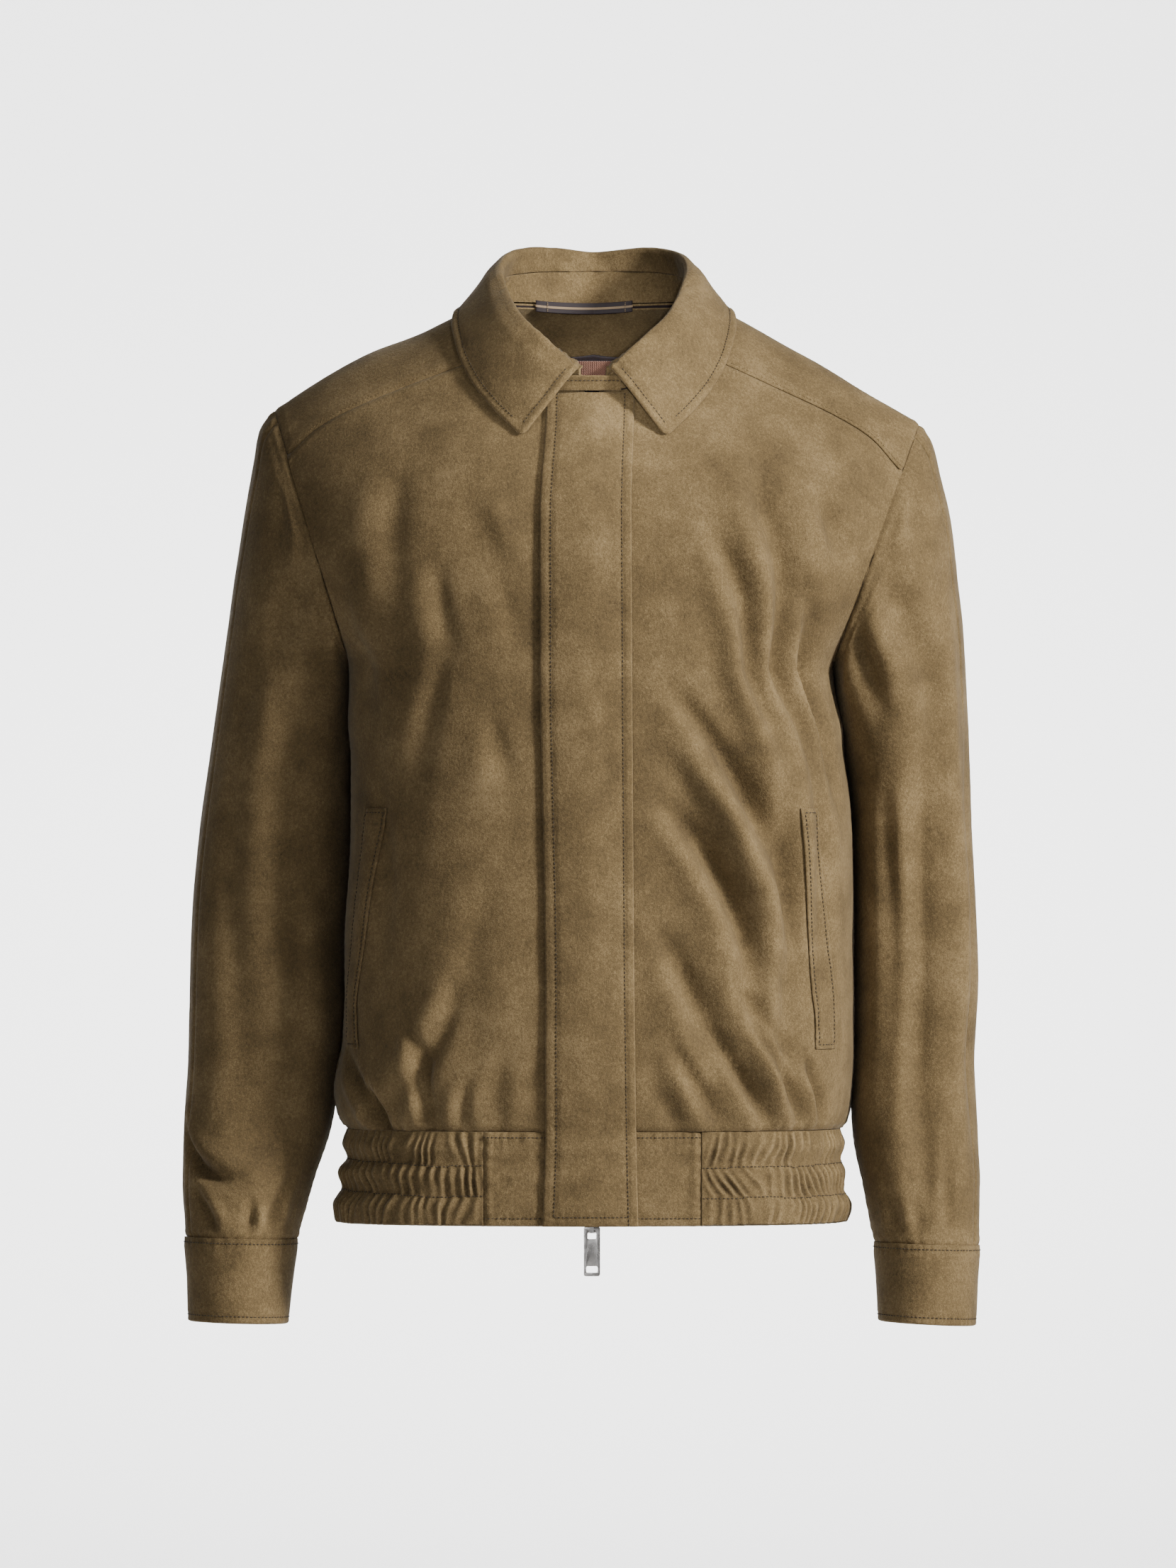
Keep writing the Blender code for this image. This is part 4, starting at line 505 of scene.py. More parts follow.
def fold_lift(theta, z):
    """How far folds and unevenness move the body's cloth outward."""
    theta, z = np.broadcast_arrays(np.asarray(theta, float), np.asarray(z, float))
    around = girth(theta)
    least = CALM["front"]
    calm = np.where(np.cos(theta) > 0, least + (1 - least) * np.clip((around + 60) / 80, 0, 1), 1)
    lift = uneven(around, z, 3) * calm
    for back, x0, z0, x1, z1, x2, z2, depth, width in zip(*FOLDS.values()):
        behind = back > 0
        if behind == bool(np.cos(theta).mean() < 0):
            ends = [(float(girth(theta_at(x, h, behind))), h) for x, h in ((x0, z0), (x1, z1), (x2, z2))]
            turn = 2 * GIRTH[-1]
            place = np.where(around < 0, around + turn, around) if behind else around
            ends = [(a + turn if behind and a < 0 else a, h) for a, h in ends]
            lift = lift + bent(place, z, ends, depth, width)
    height = np.clip((z - WAIST_Z) / BLOUSE["height"], 0, 1)
    swell = np.sin(height * math.pi) * (1 - height)
    lift = lift + BLOUSE["creases"] * swell * ripple(around, z * BLOUSE["long"], BLOUSE["pitch"], 21)
    pleat = np.clip(1 - (z - WAIST_Z) / WAIST_PLEATS["height"], 0, 1) ** 1.6
    phase = around / WAIST_PLEATS["pitch"] + 0.6 * ripple(around, z, 30, 5)
    strength = 0.35 + 0.65 * np.clip(ripple(around, 0 * z, 36, 8) + 0.4, 0, 1)
    lift = lift - WAIST_PLEATS["depth"] * pleat * strength * (1 - np.abs(np.sin(math.pi * phase))) ** 1.5
    x = plain_body(theta, z)[..., 0]
    near_zip = np.where(np.cos(theta) > 0, faded("zip", np.abs(x), 0), 1)
    near_yoke = faded("yoke", ridge(x) - z, 0.12)
    near_arm = faded("arm", np.maximum(armhole_x(x, z) - np.abs(x), UNDERARM_Z - z), 0.1)
    beside = np.exp(-((z - UNDER_ARM["z"]) / UNDER_ARM["reach"]) ** 4) * np.abs(np.sin(theta)) ** 12
    return lift * near_zip * near_yoke * near_arm + UNDER_ARM["swell"] * beside


def body(theta, z):
    """The body's cloth with its folds, above the waistband."""
    outward = np.stack(np.broadcast_arrays(np.sin(theta), -np.cos(theta), np.zeros_like(theta + z)), -1)
    lift = np.where(z >= WAIST_Z, fold_lift(theta, z), 0)
    return plain_body(theta, z) + outward * lift[..., None]


def sleeve_surface(side, psi, part):
    """The sleeve at an angle round it and a part (0 to 1) of its length."""
    rows = SLEEVE_LEFT if side < 0 else SLEEVE_RIGHT
    at = np.linspace(0, 1, len(rows["out_x"]))
    psi, part = np.broadcast_arrays(np.asarray(psi, float), np.asarray(part, float))
    out_x, out_z, in_x, in_z, mid_y, depth = (smooth(part, at, rows[name]) for name in rows)
    square = 2.0 + 0.25 * np.sin(math.pi * np.clip(part, 0, 1))
    blend = np.clip(part / SLEEVE_START["round"], 0, 1)
    along = np.cos(psi) * (1 - blend) + superellipse(psi, square)[0] * blend
    share = (1 - along) / 2
    x, z = side * (out_x + (in_x - out_x) * share), out_z + (in_z - out_z) * share
    own_y = mid_y - depth * superellipse(psi, square)[1]
    hole_x, hole_z, hole_back = armhole(side, psi)
    hole_y = plain_body(theta_at(hole_x, hole_z, hole_back), hole_z)[..., 1]
    ease = np.clip(part / SLEEVE_START["depth"], 0, 1)
    ease = ease * ease * (3 - 2 * ease)
    return np.stack([x, hole_y * (1 - ease) + own_y * ease, z], -1)


def sleeve_lift(side, psi, part):
    """How far folds and unevenness move a sleeve's cloth outward."""
    around, down = psi * SLEEVE_ROUND, part * SLEEVE_LONG
    calm = CALM["left_sleeve"] if side < 0 else CALM["right_sleeve"]
    lift = uneven(around + side * 300, down, 11) * calm
    for row in zip(*SLEEVE_FOLDS.values()):
        if row[0] == side:
            angles, parts = row[1:7:2], row[2:7:2]
            points = [(math.radians(a) * SLEEVE_ROUND, p * SLEEVE_LONG) for a, p in zip(angles, parts)]
            share = CALM["left_folds"] if side < 0 and parts[1] < SLEEVE_CALM["above"] else 1.0
            lift = lift + share * bent(around, down, points, row[7], row[8])
    ends = np.clip(part / SLEEVE_CALM["top"], 0.1, 1) * np.clip((1 - part) / SLEEVE_CALM["cuff"], 0.12, 1)
    gather = np.clip(1 - (1 - part) * SLEEVE_LONG / CUFF_GATHERS["height"], 0, 1) ** 1.5
    phase = around / CUFF_GATHERS["pitch"] + 0.5 * ripple(around, down, 30, 6)
    tuck = np.clip(ripple(around, 0 * down, 28, 9) + 0.2, 0, 1)
    return lift * ends - CUFF_GATHERS["depth"] * gather * tuck * (1 - np.abs(np.sin(math.pi * phase))) ** 1.5


def over_shoulder(x, t):
    """x and t to the body's angle and height; t runs from the front (below 0) over the shoulder line."""
    z = ridge(x) - SHOULDER_DROP * t * t
    return theta_at(x, z, t > 0), z


def shoulder_t(x, z, back):
    """t of the point at x and height z, behind the shoulder line or in front of it."""
    t = np.sqrt(np.clip((ridge(x) - z) / SHOULDER_DROP, 0, 1))
    return np.where(back, t, -t)


def shoulder(x, t):
    """The body's point at x and t."""
    return plain_body(*over_shoulder(x, t))


def neck_hole(side, part):
    """x and t of the neck hole; part is 0 at the middle front, 1, 2 and 3 as in COLLAR_ROWS."""
    yoke_t = float(shoulder_t(YOKE_X, NECK_FRONT["z"][-1], True))
    front_x = YOKE_X * np.clip(part, 0, 1)
    front_t = shoulder_t(front_x, smooth(front_x, NECK_FRONT["out"], NECK_FRONT["z"]), False)
    side_t = -yoke_t * np.clip(2 - part, 0, 1)
    side_x = NECK_X - (NECK_X - YOKE_X) * np.abs(side_t / yoke_t) ** NECK_BEND
    back_x = NECK_X * np.cos(np.clip(part - 2, 0, 1) * math.pi / 2)
    back_t = shoulder_t(back_x, smooth(back_x, NECK_BACK["out"], NECK_BACK["z"]), True)
    x = np.where(part < 1, front_x, np.where(part < 2, side_x, back_x))
    t = np.where(part < 1, front_t, np.where(part <= 2, side_t, back_t))
    return side * x, t


def normals_of(surface, u, v, step_u, step_v):
    """Unit normals of a surface of two numbers."""
    across = surface(u + step_u, v) - surface(u - step_u, v)
    return unit(np.cross(across, surface(u, v + step_v) - surface(u, v - step_v)))


def unit(vectors):
    """The same directions at length 1."""
    return vectors / np.maximum(np.linalg.norm(vectors, axis=-1, keepdims=True), 1e-12)


# ---- cloth grids ---------------------------------------------------------------------------------

class Panel:
    """A grid of outer points, rows by columns, with the outward direction at each."""

    def __init__(self, points, wall, flip=False, closed=False, normals=None):
        self.points, self.wall, self.closed = np.array(points, float), wall, closed
        if normals is None:
            normals = unit(np.cross(self.slope(1), self.slope(0)))
        self.normals = normals * (-1 if flip else 1)
        self.measure()

    def slope(self, axis):
        """Steps from point to point along an axis of the grid."""
        if axis == 1 and self.closed:
            return np.roll(self.points, -1, 1) - np.roll(self.points, 1, 1)
        return np.gradient(self.points, axis=axis)

    def measure(self):
        """Distances over the cloth from its lower edge, its first column, and the two opposite ones."""
        up = np.linalg.norm(np.diff(self.points, axis=0), axis=-1)
        across = np.linalg.norm(np.diff(self.points, axis=1), axis=-1)
        self.south = np.concatenate([0 * up[:1], np.cumsum(up, 0)])
        self.west = np.concatenate([0 * across[:, :1], np.cumsum(across, 1)], 1)
        self.north, self.east = self.south[-1:] - self.south, self.west[:, -1:] - self.west

    def edge(self, name):
        """Rows and columns of an edge's points."""
        rows, columns = self.points.shape[:2]
        row, column = np.arange(rows), np.arange(columns)
        return {"south": (0 * column, column), "north": (0 * column + rows - 1, column),
                "west": (row, 0 * row), "east": (row, 0 * row + columns - 1)}[name]

    def into(self, name):
        """Unit steps from an edge into the panel, square to the edge."""
        points = self.points if name in ("south", "north") else self.points.swapaxes(0, 1)
        if name in ("north", "east"):
            points = points[::-1]
        tangent = unit(np.gradient(points[0], axis=0))
        step = points[1] - points[0]
        return unit(step - tangent * np.sum(step * tangent, -1, keepdims=True))

    def trim(self, *names):
        """Draws the named edges back by half a seam's gap."""
        shift = np.zeros_like(self.points)
        for name in names:
            shift[self.edge(name)] += self.into(name) * SEAM / 2
        self.points = self.points + shift

    def lift(self, height):
        """Moves the cloth outward by a height at each point."""
        self.points = self.points + self.normals * np.asarray(height)[..., None]

    def seam(self, name, dip=0.55, roll=0.35, pucker=0.22, seed=1):
        """Pulls an edge in where it is sewn, with a low roll and small puckers beside it."""
        away = getattr(self, name)
        along = self.west if name in ("south", "north") else self.south
        drift = ripple(along, away, SEWN["drift"], seed)
        wave = np.sin(2 * math.pi * (along / SEWN["pitch"] + drift))
        bump = np.exp(-((away - SEWN["roll_at"]) / SEWN["roll_wide"]) ** 2)
        self.lift(roll * bump - dip * np.exp(-(away / SEWN["dip_wide"]) ** 2)
                  + pucker * wave * np.exp(-away / SEWN["reach"]) * np.clip(away / SEWN["start"], 0, 1))

    def row(self, name, distance, dip=0.3, pucker=0.12, seed=2):
        """Pulls the cloth in along a row of stitches at a distance from an edge."""
        away = getattr(self, name) - distance
        along = self.west if name in ("south", "north") else self.south
        drift = ripple(along, away, STITCHED["drift"], seed)
        wave = np.sin(2 * math.pi * (along / STITCHED["pitch"] + drift))
        self.lift(-dip * np.exp(-(away / STITCHED["dip_wide"]) ** 2)
                  + pucker * wave * np.exp(-(away / STITCHED["reach"]) ** 2))

    def line(self, name, distance, low=0.0, high=1.0):
        """Points and outward directions along a row at a distance from an edge."""
        away, points, normals = getattr(self, name), self.points, self.facing()
        if name in ("east", "west"):
            away, points, normals = away.T, points.swapaxes(0, 1), normals.swapaxes(0, 1)
        if name in ("north", "east"):
            away, points, normals = away[::-1], points[::-1], normals[::-1]
        count = away.shape[1]
        columns = np.arange(round(low * (count - 1)), round(high * (count - 1)) + 1)
        row = np.clip((away[:, columns] < distance).sum(0) - 1, 0, len(away) - 2)
        near, far = away[row, columns], away[row + 1, columns]
        share = np.clip((distance - near) / np.maximum(far - near, 1e-6), 0, 1)[:, None]
        return tuple(grid[row, columns] * (1 - share) + grid[row + 1, columns] * share
                     for grid in (points, normals))

    def facing(self):
        """Outward directions of the cloth as it now lies."""
        normals = unit(np.cross(self.slope(1), self.slope(0)))
        return normals * np.sign(np.sum(normals * self.normals))


def blurred(values, times=2):
    """A grid with each value evened out towards its neighbours."""
    for _ in range(times):
        wide = np.pad(values, 1, mode="edge")
        values = (wide[1:-1, :-2] + wide[1:-1, 2:] + wide[:-2, 1:-1] + wide[2:, 1:-1] + 2 * values) / 6
    return values


def painted_relief_light_of(panel):
    """1 on sharp ridges, -1 in sharp troughs, for painted highlight on ridges and painted shade in troughs
    and sewn grooves.
    """
    wide = np.pad(panel.points, ((1, 1), (1, 1), (0, 0)), mode="edge")
    around = (wide[1:-1, :-2] + wide[1:-1, 2:] + wide[:-2, 1:-1] + wide[2:, 1:-1]) / 4
    cell = np.linalg.norm(wide[1:-1, 2:] - wide[1:-1, :-2], axis=-1) / 2 + 0.3
    bend = -np.sum((around - panel.points) * panel.normals, -1) / cell ** 2
    bend[[0, -1]], bend[:, [0, -1]] = 0, 0
    return np.clip(blurred(bend * 9, 3), -1, 1)


# ---- finishes ------------------------------------------------------------------------------------

def group(name, inputs, outputs):
    """An empty node group with its sockets; inputs are names with their plain values."""
    tree = bpy.data.node_groups.new(name, "ShaderNodeTree")
    for label, value in inputs.items():
        kind = "NodeSocketColor" if isinstance(value, tuple) else "NodeSocketFloat"
        tree.interface.new_socket(label, in_out="INPUT", socket_type=kind).default_value = (
            (*value, 1.0) if isinstance(value, tuple) else value)
    for label in outputs:
        kind = "NodeSocketColor" if label == "Colour" else "NodeSocketFloat"
        tree.interface.new_socket(label, in_out="OUTPUT", socket_type=kind)
    return tree, tree.nodes.new("NodeGroupInput"), tree.nodes.new("NodeGroupOutput")


def node(tree, kind, settings=(), **sockets):
    """A shader node with its settings, and its inputs linked or set by name."""
    made = tree.nodes.new("ShaderNode" + kind)
    for key, value in dict(settings).items():
        setattr(made, key, value)
    for key, value in sockets.items():
        feed(tree, made.inputs[key], value)
    return made


def feed(tree, socket, value):
    """Links a socket to a value that varies, or sets one that doesn't."""
    if isinstance(value, bpy.types.NodeSocket):
        tree.links.new(value, socket)
    else:
        socket.default_value = value


def calc(tree, operation, *values):
    """A math node's result for numbers and sockets."""
    made = node(tree, "Math", {"operation": operation})
    for socket, value in zip(made.inputs, values):
        feed(tree, socket, value)
    return made.outputs[0]


def clouds(tree, place, scale, detail=3.0, roughness=0.55):
    """Noise from -1 to 1."""
    found = node(tree, "TexNoise", Vector=place, Scale=scale, Detail=detail, Roughness=roughness)
    return calc(tree, "MULTIPLY_ADD", found.outputs[0], 2.0, -1.0)


def blend_of(tree, share, low, high):
    """A colour between two, by a share; the colour sockets of a mix node are its inputs 6 and 7."""
    made = node(tree, "Mix", {"data_type": "RGBA"})
    for number, value in ((0, share), (6, low), (7, high)):
        feed(tree, made.inputs[number], value)
    return made.outputs[2]


def put_out(tree, out, colour, roughness, height):
    """Links what a group puts out."""
    for name, value in (("Colour", colour), ("Roughness", roughness), ("Height", height)):
        tree.links.new(value, out.inputs[name])
    return tree


def nap_group():
    """Brushed nap: mottled in patches, with short strokes and fine grain, and painted highlight on ridges and
    painted shade in troughs.
    """
    tree, given, out = group("nap", {
        "Dark": (0.1, 0.07, 0.03), "Middle": (0.2, 0.14, 0.07), "Light": (0.3, 0.21, 0.11), "Painted Relief Light": 0.0,
        "Patches": 0.22, "Grain": 0.25}, ("Colour", "Roughness", "Height"))
    place = node(tree, "TexCoord").outputs["Object"]
    patch = clouds(tree, place, 21.0, 3.0, 0.55)
    small = clouds(tree, place, 60.0, 2.0, 0.5)
    strokes = node(tree, "Mapping", Vector=place, Scale=(1.0, 1.0, 0.8)).outputs[0]
    brushed = clouds(tree, strokes, 520.0, 3.0, 0.65)
    grain = clouds(tree, place, 1350.0, 2.0, 0.6)
    wide = calc(tree, "MULTIPLY", calc(tree, "MULTIPLY_ADD", small, 0.45, patch), given.outputs["Patches"])
    fine = calc(tree, "MULTIPLY", calc(tree, "MULTIPLY_ADD", grain, 1.2, brushed), given.outputs["Grain"])
    tone = calc(tree, "ADD", wide, fine)
    # Painted light: the tone is raised on the cloth's ridges and lowered in its troughs and sewn grooves.
    tone = calc(tree, "ADD", tone, calc(tree, "MULTIPLY", given.outputs["Painted Relief Light"], 0.5))
    upper = calc(tree, "MAXIMUM", tone, 0.0)
    lower = calc(tree, "MAXIMUM", calc(tree, "MULTIPLY", tone, -1.0), 0.0)
    colour = blend_of(tree, upper, given.outputs["Middle"], given.outputs["Light"])
    colour = blend_of(tree, lower, colour, given.outputs["Dark"])
    rough = calc(tree, "MULTIPLY_ADD", grain, 0.6, brushed)
    return put_out(tree, out, colour, calc(tree, "MULTIPLY_ADD", small, 0.05, 0.88),
                   calc(tree, "MULTIPLY_ADD", small, 0.8, rough))


def weave_group():
    """Fine plain weave over slow shading."""
    tree, given, out = group("weave", {
        "Dark": (0.02, 0.01, 0.01), "Light": (0.05, 0.03, 0.03), "Threads": 1800.0},
        ("Colour", "Roughness", "Height"))
    place = node(tree, "TexCoord").outputs["Object"]
    parts = node(tree, "SeparateXYZ", Vector=place)
    across = calc(tree, "SINE", calc(tree, "MULTIPLY", parts.outputs[0], given.outputs["Threads"]))
    down = calc(tree, "SINE", calc(tree, "MULTIPLY", parts.outputs[2], given.outputs["Threads"]))
    threads = calc(tree, "MULTIPLY", across, down)
    slow = clouds(tree, place, 140.0)
    share = calc(tree, "MULTIPLY_ADD", threads, 0.25, calc(tree, "MULTIPLY_ADD", slow, 0.3, 0.45))
    return put_out(tree, out, blend_of(tree, share, given.outputs["Dark"], given.outputs["Light"]),
                   calc(tree, "MULTIPLY_ADD", slow, 0.08, 0.6), threads)


def wear_group():
    """Small smudges and rub marks on metal."""
    tree, given, out = group("rubbed", {
        "Dark": (0.1, 0.1, 0.1), "Light": (0.4, 0.4, 0.4), "Rub": 0.3}, ("Colour", "Roughness", "Height"))
    place = node(tree, "TexCoord").outputs["Object"]
    slow, fine = clouds(tree, place, 160.0), clouds(tree, place, 1400.0, 2.0)
    share = calc(tree, "MULTIPLY_ADD", slow, given.outputs["Rub"], 0.5)
    return put_out(tree, out, blend_of(tree, share, given.outputs["Dark"], given.outputs["Light"]),
                   calc(tree, "MULTIPLY_ADD", slow, 0.08, 0.27), fine)


GROUPS = {"nap": nap_group(), "weave": weave_group(), "rubbed": wear_group()}


def finish(name, effect, bump, values, constants):
    """A material: an effect's colour, roughness and relief on a shader with constant other sockets."""
    made = bpy.data.materials.new(name)
    made.use_nodes = True
    tree = made.node_tree
    shader = tree.nodes["Principled BSDF"]
    holder = tree.nodes.new("ShaderNodeGroup")
    holder.node_tree = GROUPS[effect]
    for key, value in values.items():
        holder.inputs[key].default_value = (*value, 1.0) if isinstance(value, tuple) else value
    if "Painted Relief Light" in holder.inputs:
        # Painted highlight and painted shade per point, from the cloth's ridges and troughs.
        painted_relief_light = node(tree, "Attribute", {"attribute_name": "painted_relief_light"})
        tree.links.new(painted_relief_light.outputs["Fac"], holder.inputs["Painted Relief Light"])
    relief = node(tree, "Bump", Strength=bump[0], Distance=bump[1], Height=holder.outputs["Height"])
    tree.links.new(holder.outputs["Colour"], shader.inputs["Base Color"])
    tree.links.new(holder.outputs["Roughness"], shader.inputs["Roughness"])
    tree.links.new(relief.outputs[0], shader.inputs["Normal"])
    for key, value in constants.items():
        shader.inputs[key].default_value = value
    return made


NAP_SHEEN = {"Sheen Weight": 0.12, "Sheen Roughness": 0.4, "Sheen Tint": (0.95, 0.85, 0.68, 1.0),
             "Specular IOR Level": 0.2}
SUEDE_FINISH = finish("suede", "nap", (0.55, 0.00035), {
    "Dark": (0.030, 0.019, 0.0075), "Middle": (0.115, 0.078, 0.034), "Light": (0.25, 0.177, 0.088),
    "Patches": 0.7, "Grain": 0.65}, NAP_SHEEN)
# The thread is coloured darker than the suede: partly its own tone, partly painted shade of the grooves the
# stitches sit in.
THREAD_AND_GROOVE_SHADE_FINISH = finish("thread", "weave", (0.4, 0.0001), {
    "Dark": (0.016, 0.011, 0.005), "Light": (0.055, 0.038, 0.018), "Threads": 5200.0},
    {"Specular IOR Level": 0.3})
LINING_FINISH = finish("lining", "weave", (0.15, 0.00005), {
    "Dark": (0.016, 0.010, 0.012), "Light": (0.045, 0.028, 0.034), "Threads": 6000.0},
    {"Specular IOR Level": 0.5, "Sheen Weight": 0.2, "Sheen Roughness": 0.3})
RIB_FINISH = finish("rib_knit", "weave", (0.6, 0.0002), {
    "Dark": (0.05, 0.02, 0.012), "Light": (0.17, 0.075, 0.047), "Threads": 3800.0},
    {"Sheen Weight": 0.3, "Sheen Roughness": 0.5, "Specular IOR Level": 0.2})
TAPE_FINISH = finish("woven_tape", "weave", (0.6, 0.0001), {
    "Dark": (0.008, 0.004, 0.005), "Light": (0.024, 0.014, 0.017), "Threads": 5200.0},
    {"Specular IOR Level": 0.35})
STRIPE_FINISH = finish("tape_stripe", "weave", (0.6, 0.0001), {
    "Dark": (0.15, 0.10, 0.055), "Light": (0.36, 0.26, 0.16), "Threads": 5200.0}, {"Specular IOR Level": 0.3})
ZIP_CLOTH_FINISH = finish("zip_cloth", "weave", (0.5, 0.0001), {
    "Dark": (0.03, 0.022, 0.013), "Light": (0.075, 0.058, 0.036), "Threads": 4600.0}, {})
METAL_FINISH = finish("zip_metal", "rubbed", (0.05, 0.00005), {
    "Dark": (0.5, 0.47, 0.45), "Light": (0.82, 0.80, 0.78)}, {"Metallic": 1.0})

# ---- meshes --------------------------------------------------------------------------------------


def mesh_object(name, points, faces, materials, marks=None, face_slots=None, body="jacket"):
    """An object from points in millimetres and faces of equal size, with its painted highlight and painted
    shade values.
    """
    faces = np.asarray(faces, np.int32)
    mesh = bpy.data.meshes.new(name)
    mesh.vertices.add(len(points))
    mesh.vertices.foreach_set("co", (np.asarray(points, float) * MM).astype(np.float32).ravel())
    mesh.loops.add(faces.size)
    mesh.loops.foreach_set("vertex_index", faces.ravel())
    mesh.polygons.add(len(faces))
    size = faces.shape[1]
    mesh.polygons.foreach_set("loop_start", np.arange(len(faces), dtype=np.int32) * size)
    mesh.polygons.foreach_set("loop_total", np.full(len(faces), size, np.int32))
    for finish_ in materials:
        mesh.materials.append(finish_)
    if face_slots is not None:
        mesh.polygons.foreach_set("material_index", np.asarray(face_slots, np.int32))
    if marks is not None:
        mesh.attributes.new("painted_relief_light", "FLOAT", "POINT").data.foreach_set(
            "value", np.asarray(marks, np.float32))
    mesh.update(calc_edges=True)
    mesh.validate()
    mesh.shade_smooth()
    made = added(name, mesh)
    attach(made, body)
    return made


# Degrees round a cloth's edge at which its rounding has a ring; past 90 they turn into the inner side.
RIM_TURNS = (40.0, 90.0, 90.001, 140.0)


FULL_RIM = 9.0          # an edge radius that half the wall always limits
LINED = (SUEDE_FINISH, LINING_FINISH)


def rim_loops(panel):
    """Vertex numbers round each open edge, in the order that keeps the cloth on one side."""
    rows, columns = panel.points.shape[:2]
    here = np.arange(rows * columns).reshape(rows, columns)
    if panel.closed:
        return [here[0], here[-1][::-1]]
    return [np.concatenate([here[0, :-1], here[:-1, -1], here[-1, :0:-1], here[:0:-1, 0]])]


def cloth(name, panel, nodes, finishes, rim_wear_and_highlight=0.35, rim=FULL_RIM):
    """A thin closed wall on a panel, its edges rounded, standing for the named nodes."""
    rows, columns = panel.points.shape[:2]
    points, normals, wall = panel.points.reshape(-1, 3).copy(), panel.normals.reshape(-1, 3), panel.wall
    grid_up = unit(np.cross(panel.slope(1), panel.slope(0))).reshape(-1, 3)
    turn = np.sign(np.sum(grid_up * normals))
    # Painted highlight on ridges, painted shade in troughs.
    painted_relief_light = painted_relief_light_of(panel).ravel()
    radius = np.minimum(np.broadcast_to(rim, (rows, columns)).ravel(), wall / 2)[:, None]
    count = rows * columns
    here = np.arange(count).reshape(rows, columns)
    after = np.roll(here, -1, 1) if panel.closed else here[:, 1:]
    start = here if panel.closed else here[:, :-1]
    outer = np.stack([start[:-1], after[:-1], after[1:], start[1:]], -1).reshape(-1, 4)
    edges = []
    for loop in rim_loops(panel):
        tangent = unit(np.roll(points[loop], -1, 0) - np.roll(points[loop], 1, 0))
        away = unit(np.cross(tangent, grid_up[loop]))
        edges.append((loop, away))
    for loop, away in edges:
        points[loop] -= away * radius[loop]
    inner = points - normals * wall
    all_points, marks = [points, inner], [painted_relief_light, 0 * painted_relief_light]
    faces = [outer, outer[:, ::-1] + count]
    slots = [np.zeros(len(outer)), np.ones(len(outer))]
    total = 2 * count
    for loop, away in edges:
        previous = loop
        for angle in (*RIM_TURNS, None):
            if angle is None:
                ring = loop + count
            else:
                s, c = math.sin(math.radians(angle)), math.cos(math.radians(angle))
                turn_in = radius[loop]
                deep = turn_in * (1 - c) if angle <= 90 else wall - turn_in * (1 + c)
                all_points.append(points[loop] + away * turn_in * s - normals[loop] * deep)
                # The rounded edges are lightened a little: partly rubbed wear, partly painted highlight.
                marks.append(np.full(len(loop), rim_wear_and_highlight))
                ring = np.arange(len(loop)) + total
                total += len(loop)
            following, ahead = np.roll(ring, -1), np.roll(previous, -1)
            faces.append(np.stack([previous, ring, following, ahead], -1))
            slots.append(np.zeros(len(loop)))
            previous = ring
    faces = np.concatenate(faces)
    if turn < 0:
        faces = faces[:, ::-1]
    made = mesh_object(name, np.concatenate(all_points), faces, finishes, np.concatenate(marks),
                       np.concatenate(slots))
    if nodes:
        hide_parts(*nodes)
    return made


def sewn(node_name, panel, flat, held="stretched", name=None, finishes=(SUEDE_FINISH, SUEDE_FINISH),
         slot="suede", rim_wear_and_highlight=0.35, rim=FULL_RIM, **declared):
    """The cloth that stands for a node. The size it is cut to, in metres, is not used."""
    made = cloth((name or node_name) + "_cloth", panel, [node_name], finishes, rim_wear_and_highlight, rim)
    return made


# ---- stitches ------------------------------------------------------------------------------------

# Rings of one stitch: place along its half length, thickness and height.
STITCH_RINGS = ((-1.0, 0.25, -0.30), (-0.72, 0.8, 0.0), (0.0, 1.0, 0.10), (0.72, 0.8, 0.0),
                (1.0, 0.25, -0.30))
STITCH_SIDES = 6


def along_line(points, pitch):
    """Evenly spaced places along a line: positions as share of its vertices."""
    length = np.concatenate([[0], np.cumsum(np.linalg.norm(np.diff(points, axis=0), axis=1))])
    count = max(int(length[-1] / pitch), 1)
    places = (np.arange(count) + 0.5) * length[-1] / count
    return np.interp(places, length, np.arange(len(points)))


def at_places(values, places):
    """Values at places between a line's vertices."""
    low = np.clip(np.floor(places).astype(int), 0, len(values) - 2)
    share = (places - low)[:, None]
    return values[low] * (1 - share) + values[low + 1] * share


